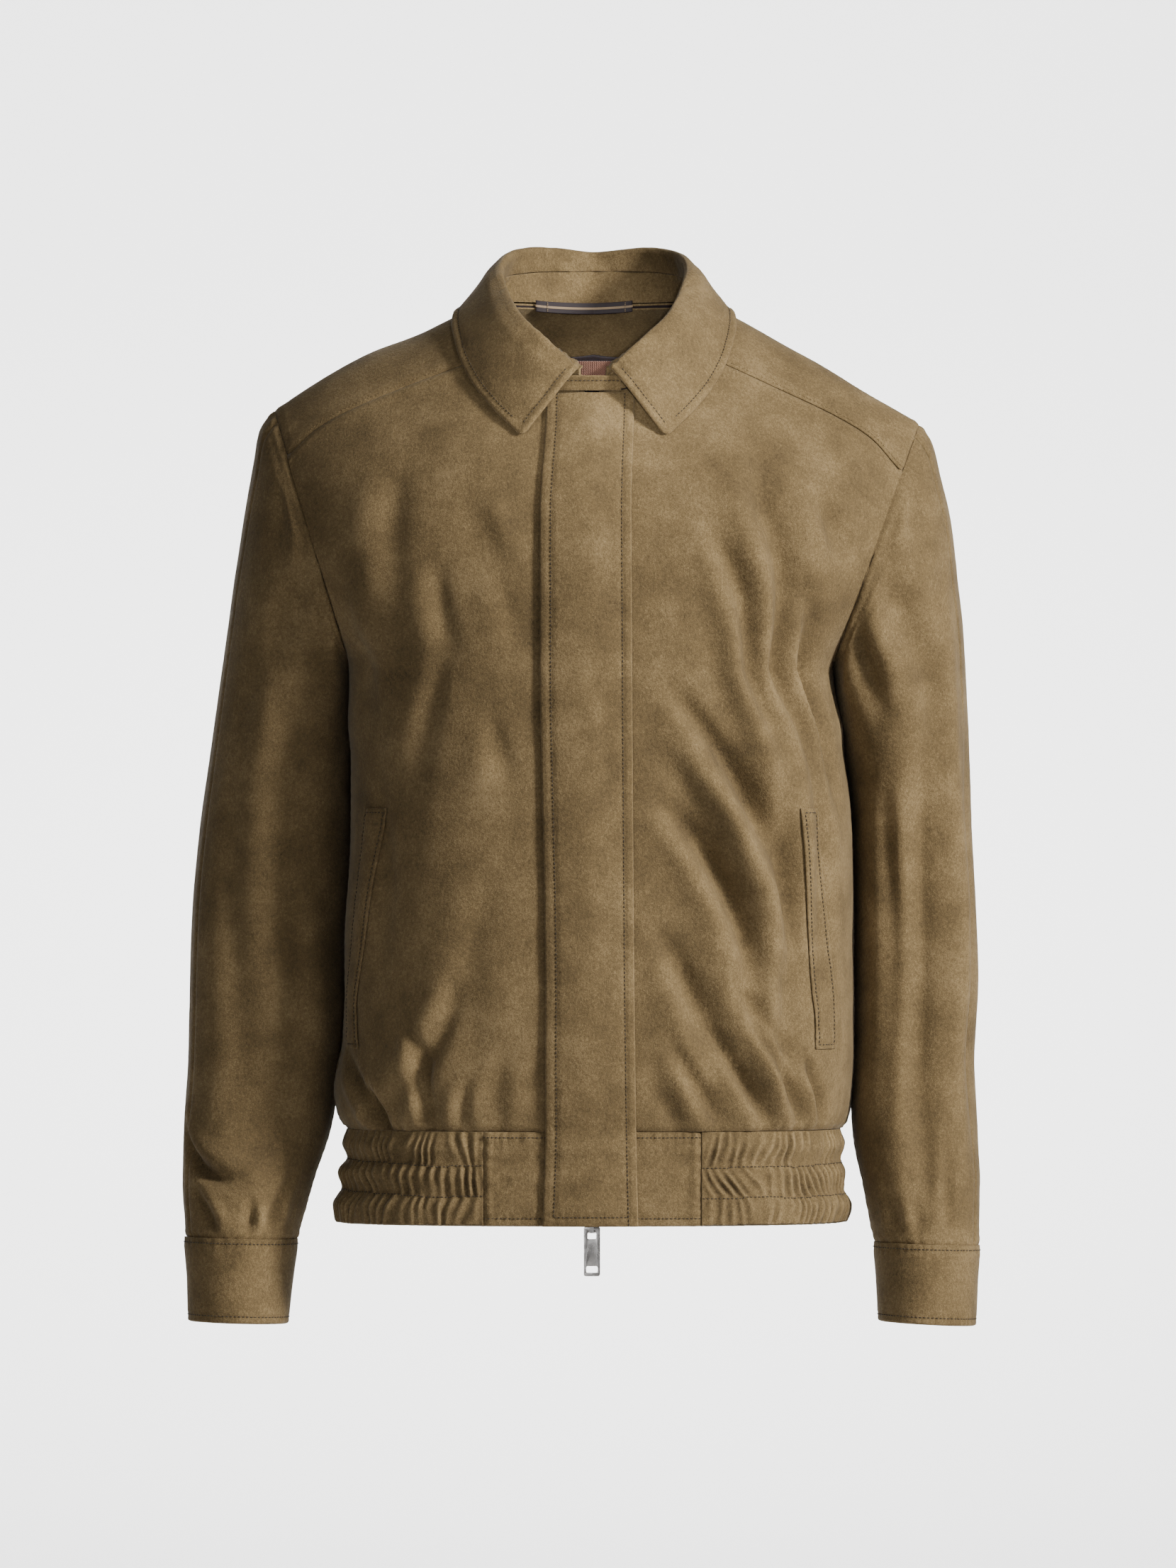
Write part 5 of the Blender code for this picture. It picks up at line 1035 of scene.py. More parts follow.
def stitches(name, lines, finish_=THREAD_AND_GROOVE_SHADE_FINISH, pitch=None, wide=None, proud=None):
    """Rows of sewn thread: lines are pairs of points and outward directions."""
    pitch, wide = pitch or STITCH["pitch"], wide or STITCH["wide"]
    proud = STITCH["proud"] if proud is None else proud
    length = STITCH["length"] * pitch / STITCH["pitch"]
    points, faces, total = [], [], 0
    angle = np.arange(STITCH_SIDES) * 2 * math.pi / STITCH_SIDES
    ring_count = len(STITCH_RINGS)
    cell = [(r * STITCH_SIDES + k, r * STITCH_SIDES + (k + 1) % STITCH_SIDES,
             (r + 1) * STITCH_SIDES + (k + 1) % STITCH_SIDES, (r + 1) * STITCH_SIDES + k)
            for r in range(ring_count - 1) for k in range(STITCH_SIDES)]
    for end in (0, ring_count - 1):
        k = end * STITCH_SIDES
        cell += [(k, k + 1, k + 2, k + 3), (k + 3, k + 4, k + 5, k)]
        if end == 0:
            cell[-2:] = [face[::-1] for face in cell[-2:]]
    cell = np.array(cell)
    for line, outward in lines:
        places = along_line(line, pitch)
        middle, up = at_places(line, places), unit(at_places(outward, places))
        ahead = unit(at_places(line, np.minimum(places + 0.3, len(line) - 1)) - at_places(
            line, np.maximum(places - 0.3, 0)))
        ahead = unit(ahead - up * np.sum(ahead * up, -1, keepdims=True))
        side = np.cross(up, ahead)
        rings = []
        for share, size, rise in STITCH_RINGS:
            centre = middle + ahead * share * length / 2 + up * (proud + rise)
            rings.append(centre[:, None] + wide * size * (
                side[:, None] * np.cos(angle)[None, :, None] + up[:, None] * np.sin(angle)[None, :, None]))
        block = np.stack(rings, 1).reshape(len(places), -1, 3)
        size = ring_count * STITCH_SIDES
        points.append(block.reshape(-1, 3))
        faces.append((cell[None] + (np.arange(len(places)) * size)[:, None, None]).reshape(-1, 4) + total)
        total += len(places) * size
    made = mesh_object(name, np.concatenate(points), np.concatenate(faces), [finish_])
    return made


# ---- body and sleeves ----------------------------------------------------------------------------

ARM_SEGMENTS = (36, 18, 18, 36)
BODY_ROWS = 170
ROW_CROWDING = 0.3
NECK_SEGMENTS = 22
YOKE_SEGMENTS = 46
SLEEVE_ROWS = 190


def front_rim(side):
    """Top boundary of a front, from its middle edge to under the arm: x and z."""
    edge_x = abs(ZIP_X + side * FRONT_GAP)
    neck_x = np.linspace(edge_x, YOKE_X, NECK_SEGMENTS + 1)
    arms = arm_angles(side)[-ARM_SEGMENTS[3] - 1:]
    arm_x, arm_z, _ = armhole(side, arms)
    seam_x = np.linspace(YOKE_X, abs(arm_x[0]), YOKE_SEGMENTS + 1)
    column = "left" if side < 0 else "right"
    seam_z = smooth(seam_x, YOKE_FRONT["out"], YOKE_FRONT[column])
    seam_z = seam_z + (arm_z[0] - seam_z[-1]) * (seam_x - YOKE_X) / (seam_x[-1] - YOKE_X)
    x = np.concatenate([neck_x, seam_x[1:], np.abs(arm_x[1:])]) * side
    z = np.concatenate([smooth(neck_x, NECK_FRONT["out"], NECK_FRONT["z"]), seam_z[1:], arm_z[1:]])
    return x, z


def spread(marks, counts):
    """Evenly spaced values between marks, so many to each span."""
    spans = [np.linspace(a, b, n + 1)[:-1] for a, b, n in zip(marks, marks[1:], counts)]
    return np.concatenate(spans + [[marks[-1]]])


def rise_rows(rows):
    """Row positions from the waist up, closer together at both ends."""
    share = np.linspace(0, 1, rows + 1)
    return (share - ROW_CROWDING * np.sin(2 * math.pi * share) / (2 * math.pi))[:, None]


def body_panel(theta, z, **options):
    """A piece of the body with its folds."""
    return Panel(body(theta, z), SUEDE, normals=normals_of(plain_body, theta, z, 0.002, 0.5), **options)


def front_panel(side):
    """A front; its columns keep their share of the way from the middle to the armhole or side seam."""
    x, z = front_rim(side)
    top = np.abs(theta_at(x, z, False)) / armhole_angle(side, z, False)
    top[-ARM_SEGMENTS[3] - 1:] = 1.0
    edge = abs(float(theta_at(ZIP_X + side * FRONT_GAP, WAIST_Z, False))) / (math.pi / 2)
    low = spread((edge, 0.34, 0.66, 1.0), (NECK_SEGMENTS, YOKE_SEGMENTS, ARM_SEGMENTS[3]))
    rise = rise_rows(BODY_ROWS)
    height = WAIST_Z * (1 - rise) + z * rise
    theta = side * (low * (1 - rise) + top * rise) * armhole_angle(side, height, False)
    return body_panel(theta, height)


def back_panel():
    """From the right side seam over the middle to the left one."""
    halves = []
    for side in (1, -1):
        arms = arm_angles(side)[:ARM_SEGMENTS[0] + 1]
        arm_x, arm_z, _ = armhole(side, arms)
        seam_x = np.linspace(abs(arm_x[-1]), 0, YOKE_SEGMENTS + 1)[1:]
        seam_z = YOKE_BACK_Z + (arm_z[-1] - YOKE_BACK_Z) * (seam_x / abs(arm_x[-1])) ** 2
        z = np.concatenate([arm_z, seam_z])
        from_middle = math.pi - np.abs(theta_at(side * seam_x, seam_z, True))
        top = np.concatenate([np.ones(len(arms)), from_middle / armhole_angle(side, seam_z, True)])
        low = spread((1.0, 0.66, 0.0), (ARM_SEGMENTS[0], YOKE_SEGMENTS))
        rise = rise_rows(BODY_ROWS)
        height = WAIST_Z * (1 - rise) + z * rise
        share = low * (1 - rise) + top * rise
        halves.append((math.pi - side * share * armhole_angle(side, height, True), height))
    theta, z = (np.concatenate([right, left[:, -2::-1]], 1) for right, left in zip(*halves))
    return body_panel(theta, z)


def yoke_rim():
    """The yoke's four boundaries in x and t: outer, neck, and its two front seams."""
    outer, neck, seams = [], [], []
    for side in (1, -1):
        arms = arm_angles(side)[ARM_SEGMENTS[0]:-ARM_SEGMENTS[3]][::-1]
        arm_x, arm_z, arm_back = armhole(side, arms)
        arm_t = shoulder_t(arm_x, arm_z, arm_back)
        arm_t[ARM_SEGMENTS[2]] = 0.0
        seam_x = side * np.linspace(abs(arm_x[-1]), 0, YOKE_SEGMENTS + 1)[1:]
        seam_z = YOKE_BACK_Z + (arm_z[-1] - YOKE_BACK_Z) * (seam_x / arm_x[-1]) ** 2
        seam_t = shoulder_t(seam_x, seam_z, True)
        outer.append(np.stack([np.concatenate([arm_x, seam_x]), np.concatenate([arm_t, seam_t])], -1))
        half = (len(arms) - 1) // 2
        neck.append(np.stack(neck_hole(side, spread((1, 2, 3), (half, half + YOKE_SEGMENTS))), -1))
        x, z = front_rim(side)
        part = slice(NECK_SEGMENTS, NECK_SEGMENTS + YOKE_SEGMENTS + 1)
        seams.append(np.stack([x[part], shoulder_t(x[part], z[part], False)], -1)[::-1])
    whole = [np.concatenate([pair[0], pair[1][-2::-1]]) for pair in (outer, neck)]
    return whole[0], whole[1], seams[0], seams[1]


def coons(south, north, west, east):
    """A patch between four boundary curves."""
    u = np.linspace(0, 1, len(south))[None, :, None]
    v = np.linspace(0, 1, len(west))[:, None, None]
    across = west[:, None] * (1 - u) + east[:, None] * u
    along = south[None] * (1 - v) + north[None] * v
    low, high = south[0] * (1 - u) + south[-1] * u, north[0] * (1 - u) + north[-1] * u
    corners = low * (1 - v) + high * v
    return across + along - corners


def yoke_panel():
    """The yoke's grid, in one over both shoulders and behind the neck."""
    patch = coons(*yoke_rim())
    x, t = patch[..., 0], patch[..., 1]
    return Panel(shoulder(x, t), SUEDE, normals=normals_of(shoulder, x, t, 1.0, 0.01))


def sleeve_panel(side, psi, part):
    """The part of a sleeve between two angles round it."""
    psi, part = np.broadcast_arrays(psi, part)

    def surface(psi, part):
        return sleeve_surface(side, psi, part)
    normals = normals_of(surface, psi, part, 0.02, 0.005)
    made = Panel(surface(psi, part), SUEDE, flip=side < 0, normals=normals)
    made.places = (psi, part)
    return made


def sleeve_panels(side):
    """The back and the front part of a sleeve."""
    arms = arm_angles(side)
    parts = np.linspace(0, 1, SLEEVE_ROWS + 1)[:, None]
    split = ARM_SEGMENTS[0] + ARM_SEGMENTS[1] + ARM_SEGMENTS[2] // 2
    return [sleeve_panel(side, span, parts) for span in (arms[:split + 1], arms[split:])]


# Each part of a sleeve with the width it is cut to and its area.
SLEEVE_CUTS = (("back", 0.285, 0.107), ("front", 0.24, 0.072))


def make_body():
    """Fronts, sleeves, back and yoke, each pulled in where it is sewn to the next."""
    for side, name in SIDES:
        front = front_panel(side)
        front.trim("north", "east", "south")
        front.measure()
        front.seam("north", dip=0.8, roll=0.5, seed=31 + side)
        front.seam("east", seed=33 + side)
        front.seam("south", dip=0.9, roll=0.8, pucker=0.5, seed=35 + side)
        sewn("front_" + name, front, flat=(0.30, 0.545), area=0.127, finishes=LINED, rim=0.5)
        for panel, (part, wide, area) in zip(sleeve_panels(side), SLEEVE_CUTS):
            around, down = np.broadcast_arrays(*panel.places)
            panel.lift(sleeve_lift(side, around, down))
            panel.trim("south", "north", "west", "east")
            panel.measure()
            panel.seam("south", dip=0.7, roll=0.5, pucker=0.3, seed=41 + side)
            panel.seam("north", dip=0.5, roll=0.5, pucker=0.4, seed=43 + side)
            panel.seam("west", seed=45 + side)
            panel.seam("east", seed=47 + side)
            sewn("sleeve_" + name + "_" + part, panel, flat=(wide, 0.59), area=area, finishes=LINED, rim=0.5)
    back = back_panel()
    back.trim("south", "north", "west", "east")
    back.measure()
    back.seam("north", seed=51)
    back.seam("west", seed=52)
    back.seam("east", seed=53)
    back.seam("south", dip=0.9, roll=0.8, pucker=0.5, seed=54)
    sewn("back", back, flat=(0.59, 0.49), area=0.235, finishes=LINED, rim=0.5)
    yoke = yoke_panel()
    yoke.lift(uneven(yoke.points[..., 0], yoke.points[..., 1], 61) * 0.5)
    yoke.trim("south", "west", "east")
    yoke.measure()
    yoke.seam("south", seed=62)
    yoke.seam("west", dip=0.5, roll=0.45, seed=63)
    yoke.seam("east", dip=0.5, roll=0.45, seed=64)
    rows = []
    for edge in ("west", "east"):
        yoke.row(edge, 2.6, dip=0.12, pucker=0.05)
        rows.append(yoke.line(edge, 2.6, 0.0, 0.95))
    sewn("yoke", yoke, flat=(0.70, 0.18), area=0.082, finishes=LINED, rim=0.5)
    stitches("yoke_stitches", rows, SUEDE_FINISH, wide=0.24, proud=0.04)


def make_cuff(side, name):
    """A cuff: a closed ring with a row of stitches along both edges."""
    source = SLEEVE_LEFT if side < 0 else SLEEVE_RIGHT
    top = np.array([source[key][-1] for key in source])
    low = np.array(CUFF_BOTTOM[side])
    psi = np.linspace(0, 2 * math.pi, 181)[:-1]
    rings = []
    for share in np.linspace(0, 1, 30):
        out_x, out_z, in_x, in_z, mid_y, depth = top * (1 - share) + low * share
        lift = float(smooth(share, CUFF_LEVELS["share"], CUFF_LEVELS["lift"]))
        along = (1 - np.cos(psi)) / 2
        x = side * (out_x + lift + (in_x - out_x - 2 * lift) * along)
        z = out_z + (in_z - out_z) * along + (CUFF_TOP["raised"] if share == 0 else 0)
        rings.append(np.stack([x, mid_y - (depth + lift) * np.sin(psi), z], -1))
    panel = Panel(rings, CUFF, flip=side < 0, closed=True)
    panel.measure()
    around = psi[None, :] * 38 + 0 * panel.south
    panel.lift(0.5 * ripple(around, panel.south, 40, 71 + side) + 0.2 * ripple(around, panel.south, 14, 73))
    panel.lift(0.9 * np.exp(-((panel.south - 1.5) / 1.2) ** 2))
    panel.row("south", CUFF_TOP["row"], dip=0.45, pucker=0.25, seed=75)
    panel.row("north", CUFF_HEM, dip=0.4, pucker=0.15, seed=76)
    sewn("cuff_" + name, panel, flat=(0.25, 0.06), rim=np.where(panel.south < 1, 0.3, FULL_RIM))
    stitches("cuff_" + name + "_stitches",
             [panel.line("south", CUFF_TOP["row"]), panel.line("north", CUFF_HEM)])


def hem_rim(panel):
    """Edge radius of a waistband piece: full along the hem, small where it meets its neighbours."""
    return np.where((panel.south < 1) & (np.minimum(panel.west, panel.east) > 0.5), FULL_RIM, 0.4)


def make_waist_tabs():
    """The plain ends of the waistband, beside the zip."""
    rows = []
    ends = {-1: (TAB_LEFT_X, ZIP_X - FRONT_GAP), 1: (ZIP_X + FRONT_GAP, TAB_RIGHT_X)}
    for side, name in SIDES:
        start, end = ends[side]
        z = np.linspace(HEM_Z, WAIST_Z, 44)[:, None]
        x = np.linspace(start, end, 54)[None, :]
        panel = Panel(plain_body(theta_at(x + 0 * z, z + 0 * x, False), z + 0 * x), BAND)
        panel.trim("north")
        panel.measure()
        panel.lift(0.5 * ripple(x, z, 26, 81) + 0.15 * ripple(x, z, 9, 82))
        far = "west" if side < 0 else "east"
        panel.seam(far, dip=0.9, roll=0.9, pucker=0.5, seed=83)
        panel.seam("north", dip=0.6, roll=0.5, pucker=0.35, seed=84)
        panel.row("south", TAB_ROWS["south"], dip=0.35, pucker=0.2, seed=85)
        panel.row("north", TAB_ROWS["north"], dip=0.25, pucker=0.2, seed=86)
        if side < 0:
            away = np.hypot(panel.points[..., 0] - SNAP["x"], panel.points[..., 2] - SNAP["z"])
            panel.lift(0.45 * np.exp(-((away - SNAP["ring"]) / SNAP["ring_wide"]) ** 2)
                       - 0.25 * np.exp(-(away / SNAP["flat"]) ** 4))
        sewn("waist_tab_" + name, panel, flat=(0.075, 0.068), rim=hem_rim(panel))
        rows += [panel.line(edge, distance) for edge, distance in TAB_ROWS.items()]
    stitches("waist_tab_stitches", rows)


def make_elastic():
    """Gathered waistband from tab to tab, split at the side seams."""
    start = float(girth(theta_at(TAB_RIGHT_X, WAIST_Z, False)))
    end = float(girth(theta_at(TAB_LEFT_X, WAIST_Z, False))) + 2 * GIRTH[-1]
    side_seam = float(girth(math.pi / 2))
    marks = (start, side_seam, 2 * GIRTH[-1] - side_seam, end)
    rows = []
    for name, a, b in zip(("right", "back", "left"), marks, marks[1:]):
        around = np.linspace(a, b, round((b - a) / ELASTIC_GRID["column"]) + 1)[None, :]
        share = np.linspace(0, 1, ELASTIC_GRID["rows"])[:, None]
        z = HEM_Z + (WAIST_Z - HEM_Z) * share + 0 * around
        theta = band_theta(around, z)
        panel = Panel(plain_body(theta, z), BAND)
        panel.trim("north")
        across = np.sin(theta) ** 2
        from_hem = {key: values[::-1] for key, values in BAND_ROWS.items()}
        left, right = (smooth(z, from_hem["z"], from_hem[key]) for key in ("left", "right"))
        shift = np.where(theta < 0, left, right) * across
        height = z - shift + 0.9 * ripple(around, 0 * z, 26, 90)
        lift = np.zeros(z.shape)
        for k, (upper, lower) in enumerate(zip(BAND_ROWS["z"], BAND_ROWS["z"][1:])):
            part = np.clip((upper - height) / (upper - lower), 0, 1)
            inside = (height <= upper) & (height > lower) if k < 2 else (height <= upper)
            if k == 0:
                inside = inside | (height > upper)
            puff = np.sin(math.pi * np.clip(part, 0.02, 0.98)) ** 0.5
            lean = BAND_LEANS[k] + 0.7 * ripple(around, 0 * z, 37, 91 + k)
            phase = around / GATHER["pitch"] + lean * (part - 0.5)
            phase = phase + 0.75 * ripple(around, part * 16, 19, 94 + k) + 0.37 * k
            depth = GATHER["depth"] * np.clip(0.7 + 0.8 * ripple(phase * 8, part * 12, 9, 97 + k), 0.15, 1.4)
            wave = 1 - np.abs(np.cos(math.pi * phase)) ** 1.8
            bulge = GATHER["puff"] * puff - GATHER["pinch"] * (1 - puff)
            lift = np.where(inside, bulge + depth * (wave - 0.6) * (0.35 + 0.65 * puff), lift)
        lift = lift + 0.35 * ripple(around, z, 6, 99) + 0.5 * ripple(around, z, 13, 100)
        ends = np.clip(np.minimum(around - a, b - around) / ELASTIC_GRID["flat_at_ends"], 0, 1)
        panel.lift(blurred(lift * ends, 1))
        panel.measure()
        length = (b - a) / 1000
        sewn("waist_elastic_" + name, panel, flat=(length * GATHERED, 0.072), held="gathered",
             rim=hem_rim(panel))
        facing = unit(np.stack([blurred(part, 6) for part in np.moveaxis(panel.facing(), -1, 0)], -1))
        for level in BAND_ROWS["z"][1:3]:
            target, columns = np.argmin(np.abs(height - level), axis=0), np.arange(z.shape[1])
            rows.append((panel.points[target, columns], facing[target, columns]))
    stitches("waist_elastic_stitches", rows, pitch=3.0, proud=0.1)


# ---- collar, placket and pockets -----------------------------------------------------------------

COLLAR_HALF = 150       # stations along half the collar
FALL_FINE = 64
POINT_RADIUS = 7.0
COLLAR_ROW = 6.0        # from the fall's edge to its stitches


def collar_curves():
    """Neck seam, stand's top seam, roll and edge of the collar, from the left point round the back."""
    at = np.linspace(COLLAR_ROWS["part"][0], COLLAR_ROWS["part"][-1], COLLAR_HALF)
    value = {name: smooth(at, COLLAR_ROWS["part"], COLLAR_ROWS[name]) for name in COLLAR_ROWS}
    halves = []
    for side in (-1, 1):
        neck = shoulder(*neck_hole(side, at))
        seam, roll = (np.stack([side * value[name + "_x"], value[name + "_y"], value[name + "_z"]], -1)
                      for name in ("seam", "roll"))
        edge_x, edge_t = side * value["edge_x"], value["edge_t"]
        outward = normals_of(shoulder, edge_x, edge_t, 1.0, 0.01)
        edge = shoulder(edge_x, edge_t) + outward * (EDGE_LIFT + 2.2)
        halves.append([neck, seam, roll, edge])
    return [np.concatenate([left[:-1], right[::-1]]) for left, right in zip(*halves)]


def make_collar():
    """The collar: a low stand, and the fall that turns over it and ends in two points."""
    neck, seam, roll, edge = (soften(curve, 6) for curve in collar_curves())
    up = unit(roll - seam)
    tangent = unit(np.gradient(roll, axis=0))
    out = unit(np.cross(up, tangent))
    up = unit(np.cross(tangent, out))
    share = np.linspace(0, 1, 24)[:, None, None]
    stand = Panel(neck * (1 - share) + seam * share, STAND)
    at = np.linspace(0, 1, len(FALL_ROWS["seam"]))
    fine = np.linspace(0, 1, FALL_FINE)
    part = {name: soften(smooth(fine, at, FALL_ROWS[name])[:, None], 2)[:, 0] for name in FALL_ROWS}
    rows = [seam * s + roll * r + edge * e + out * o + up * u
            for s, r, e, o, u in zip(*(part[name] for name in ("seam", "roll", "edge", "out", "up")))]
    fall = Panel(rows, COLLAR)
    round_corners(fall, POINT_RADIUS)
    stand.points[0] += unit(seam - neck)[0] * STAND_LIFT
    stand.trim("north")
    fall.trim("south")
    for panel, seed in ((stand, 101), (fall, 104)):
        panel.measure()
        along = panel.west + 0 * panel.south
        panel.lift(0.45 * ripple(along, panel.south, 33, seed)
                   + 0.2 * ripple(along, panel.south, 10, seed + 1))
        beside = panel.north if panel is stand else panel.south
        panel.lift(-1.6 * np.exp(-beside / 11) * np.abs(ripple(along + 0.6 * beside, beside, 11, seed + 2)))
    for number, edge in enumerate(("north", "west", "east")):
        fall.row(edge, COLLAR_ROW, dip=0.75, pucker=0.2, seed=106 + number)
    fall.lift(0.8 * np.exp(-((np.minimum(np.minimum(fall.west, fall.east), fall.north) - 2.8) / 2.0) ** 2))
    standing = cloth("collar_stand_cloth", stand, ["collar_stand"], (SUEDE_FINISH, SUEDE_FINISH), rim=0.3)
    sewn("collar_fall", fall, flat=(0.60, 0.075), held="folded", area=0.0385, rim_wear_and_highlight=0.5,
         rim=np.where(fall.south < 4, 0.3, FULL_RIM))
    spans = {"north": (0.02, 0.98), "west": (0.55, 0.955), "east": (0.55, 0.955)}
    stitches("collar_stitches", [fall.line(edge, COLLAR_ROW, *span) for edge, span in spans.items()])
    inside = stand.line("north", 2.2, 0.08, 0.92)
    stitches("collar_inside_stitches", [(inside[0] - inside[1] * stand.wall, -inside[1])], wide=0.28)


def round_corners(panel, radius):
    """Rounds the two outer corners of a panel, where its last row meets its first and last columns."""
    shift = np.zeros_like(panel.points)
    down = panel.into("north")[None]
    v = np.clip(1 - panel.north / radius, 0, 1)
    for edge in ("west", "east"):
        u = np.clip(1 - getattr(panel, edge) / radius, 0, 1)
        inward = panel.into(edge)[:, None]
        both = (u > 0) & (v > 0)
        aside = np.where(both, radius * u * (1 - np.sqrt(1 - v ** 2 / 2)), 0)
        below = np.where(both, radius * v * (1 - np.sqrt(1 - u ** 2 / 2)), 0)
        shift += aside[..., None] * inward + below[..., None] * down
    panel.points = panel.points + shift
    panel.measure()


def soften(curve, times):
    """Rounds a curve's corners, its ends kept."""
    for _ in range(times):
        middle = (curve[:-2] + 2 * curve[1:-1] + curve[2:]) / 4
        curve = np.concatenate([curve[:1], middle, curve[-1:]])
    return curve


def make_collar_tab():
    """The stand's front end."""
    tab = COLLAR_TAB
    x = np.linspace(tab["left"], tab["right"], 50)[None, :]
    share = np.linspace(0, 1, 14)[:, None]
    y = (x - ZIP_X) ** 2 / tab["bend"] + tab["y"] - tab["lean"] * share
    panel = Panel(np.stack([x + 0 * share, y, tab["low"] + tab["rise"] * share + 0 * x], -1), SUEDE)
    panel.row("north", 3.6, dip=0.25, pucker=0.1, seed=111)
    sewn("collar_tab", panel, flat=(0.052, 0.011))
    stitches("collar_tab_stitches", [panel.line("north", 3.6, 0.03, 0.97)])


def make_placket():
    """The strip over the zip, stitched along three edges."""
    z = np.linspace(HEM_Z, PLACKET_TOP, 270)[:, None]
    share = np.linspace(0, 1, 38)[None, :]
    lift = smooth(share, PLACKET_LIFT["share"], PLACKET_LIFT["lift"])
    left, right = (smooth(z, PLACKET["z"], PLACKET[key]) for key in ("left", "right"))
    x = left + (right - left) * share
    panel = Panel(np.stack([x, front_y(x, z + 0 * x) - lift - BAND, z + 0 * x], -1), BAND)
    panel.measure()
    panel.lift(0.55 * ripple(x, z * 0.6, 24, 121) + 0.22 * ripple(x, z, 10, 122))
    panel.row("west", PLACKET_ROWS["west"], dip=0.75, pucker=0.35, seed=123)
    panel.row("east", PLACKET_ROWS["east"], dip=0.8, pucker=0.38, seed=124)
    panel.row("south", PLACKET_ROWS["south"], dip=0.6, pucker=0.25, seed=125)
    panel.lift(0.4 * np.exp(-((panel.west - 4.0) / 3.0) ** 2)
               + 0.3 * np.exp(-((panel.east - 3.4) / 2.4) ** 2))
    sewn("placket", panel, flat=(0.066, 0.594), rim_wear_and_highlight=0.5)
    spans = {"west": (0.01, 1.0), "east": (0.0, 1.0), "south": (0.12, 0.9)}
    stitches("placket_stitches",
             [panel.line(edge, PLACKET_ROWS[edge], *span) for edge, span in spans.items()])


def make_pocket(side, name):
    """A pocket welt, sewn flat on its front."""
    z = np.linspace(POCKET_LOW, POCKET_HIGH, 84)[:, None]
    inner_x = smooth(z, POCKET["z"], POCKET[name])
    start = girth(theta_at(inner_x, z, False))
    around = start + side * np.linspace(0, POCKET_WIDTH, 20)[None, :]
    theta = theta_of_girth(around)
    panel = Panel(body(theta, z + 0 * theta), THIN, flip=side < 0)
    panel.lift(POCKET_LIFT + THIN + 0 * panel.south)
    for edge in ("west", "east", "south", "north"):
        panel.row(edge, POCKET_ROW, dip=0.7, pucker=0.2, seed=131)
        panel.lift(-0.6 * np.exp(-(getattr(panel, edge) / 1.1) ** 2))
    sewn("pocket_welt_" + name, panel, flat=(0.025, 0.172), name="pocket_" + name)
    ends = {"west": 0.02, "east": 0.02, "south": 0.13, "north": 0.13}
    stitches("pocket_" + name + "_stitches",
             [panel.line(edge, POCKET_ROW, end, 1 - end) for edge, end in ends.items()])


# ---- inside the neck -----------------------------------------------------------------------------

def inside_neck(inner, outer, wall, rows):
    """A piece against the inside of the yoke, between two rings given in x and t."""
    share = np.linspace(0, 1, rows)[:, None, None]
    x, t = np.moveaxis(outer * (1 - share) + inner * share, -1, 0)
    panel = Panel(shoulder(x, t), wall, normals=normals_of(shoulder, x, t, 1.0, 0.01))
    panel.lift(-(2.0 + INSIDE_GAP) + 0 * x)
    panel.measure()
    return panel


def make_neck_inside():
    """What lines the yoke behind the neck: suede facing, with lining below it."""
    turn = np.linspace(-math.pi / 2, math.pi / 2, 120)
    neck_x = -NECK_X * np.sin(turn) * 1.02
    neck_t = shoulder_t(neck_x, smooth(np.abs(neck_x), NECK_BACK["out"], NECK_BACK["z"]) - 0.3, True)
    neck = np.stack([neck_x, neck_t], -1)
    facing, lining_low = (
        np.stack([-edge["out"] * np.sin(turn), edge["t"] + edge["drop"] * np.cos(turn) ** edge["round"]], -1)
        for edge in (FACING, LINING))
    upper, lower = inside_neck(neck, facing, THIN, 30), inside_neck(facing, lining_low, THIN, 16)
    upper.trim("south")
    lower.trim("north")
    upper.lift(0.3 * ripple(upper.west, upper.south, 22, 141))
    lower.lift(0.5 * ripple(lower.west, lower.south, 18, 142))
    sewn("neck_facing", upper, flat=(0.306, 0.05), area=0.011)
    sewn("back_lining", lower, flat=(0.39, 0.054), area=0.0138, finishes=(LINING_FINISH,) * 2, slot="lining")
    line, outward = lower.line("north", 2.0)
    stitches("lining_stitches", [(line - outward * lower.wall, -outward)], wide=0.26)


def make_neck_rib():
    """The knitted strip inside the front of the neck."""
    rib = NECK_RIB
    x = np.linspace(rib["left"], rib["right"], 300)[None, :]
    z = np.linspace(rib["low"], rib["high"], 18)[:, None]
    y = x ** 2 / rib["bend"] + rib["y"] - rib["lean"] * (z - rib["low"])
    panel = Panel(np.stack([x + 0 * z, y, z + 0 * x], -1), THIN)
    wave = np.abs(np.sin(math.pi * x / 1.5)) ** 0.7 - 0.5
    panel.lift(0.45 * wave + 0 * z)
    sewn("neck_rib", panel, flat=(0.062, 0.016), finishes=(RIB_FINISH,) * 2, slot="rib_knit")


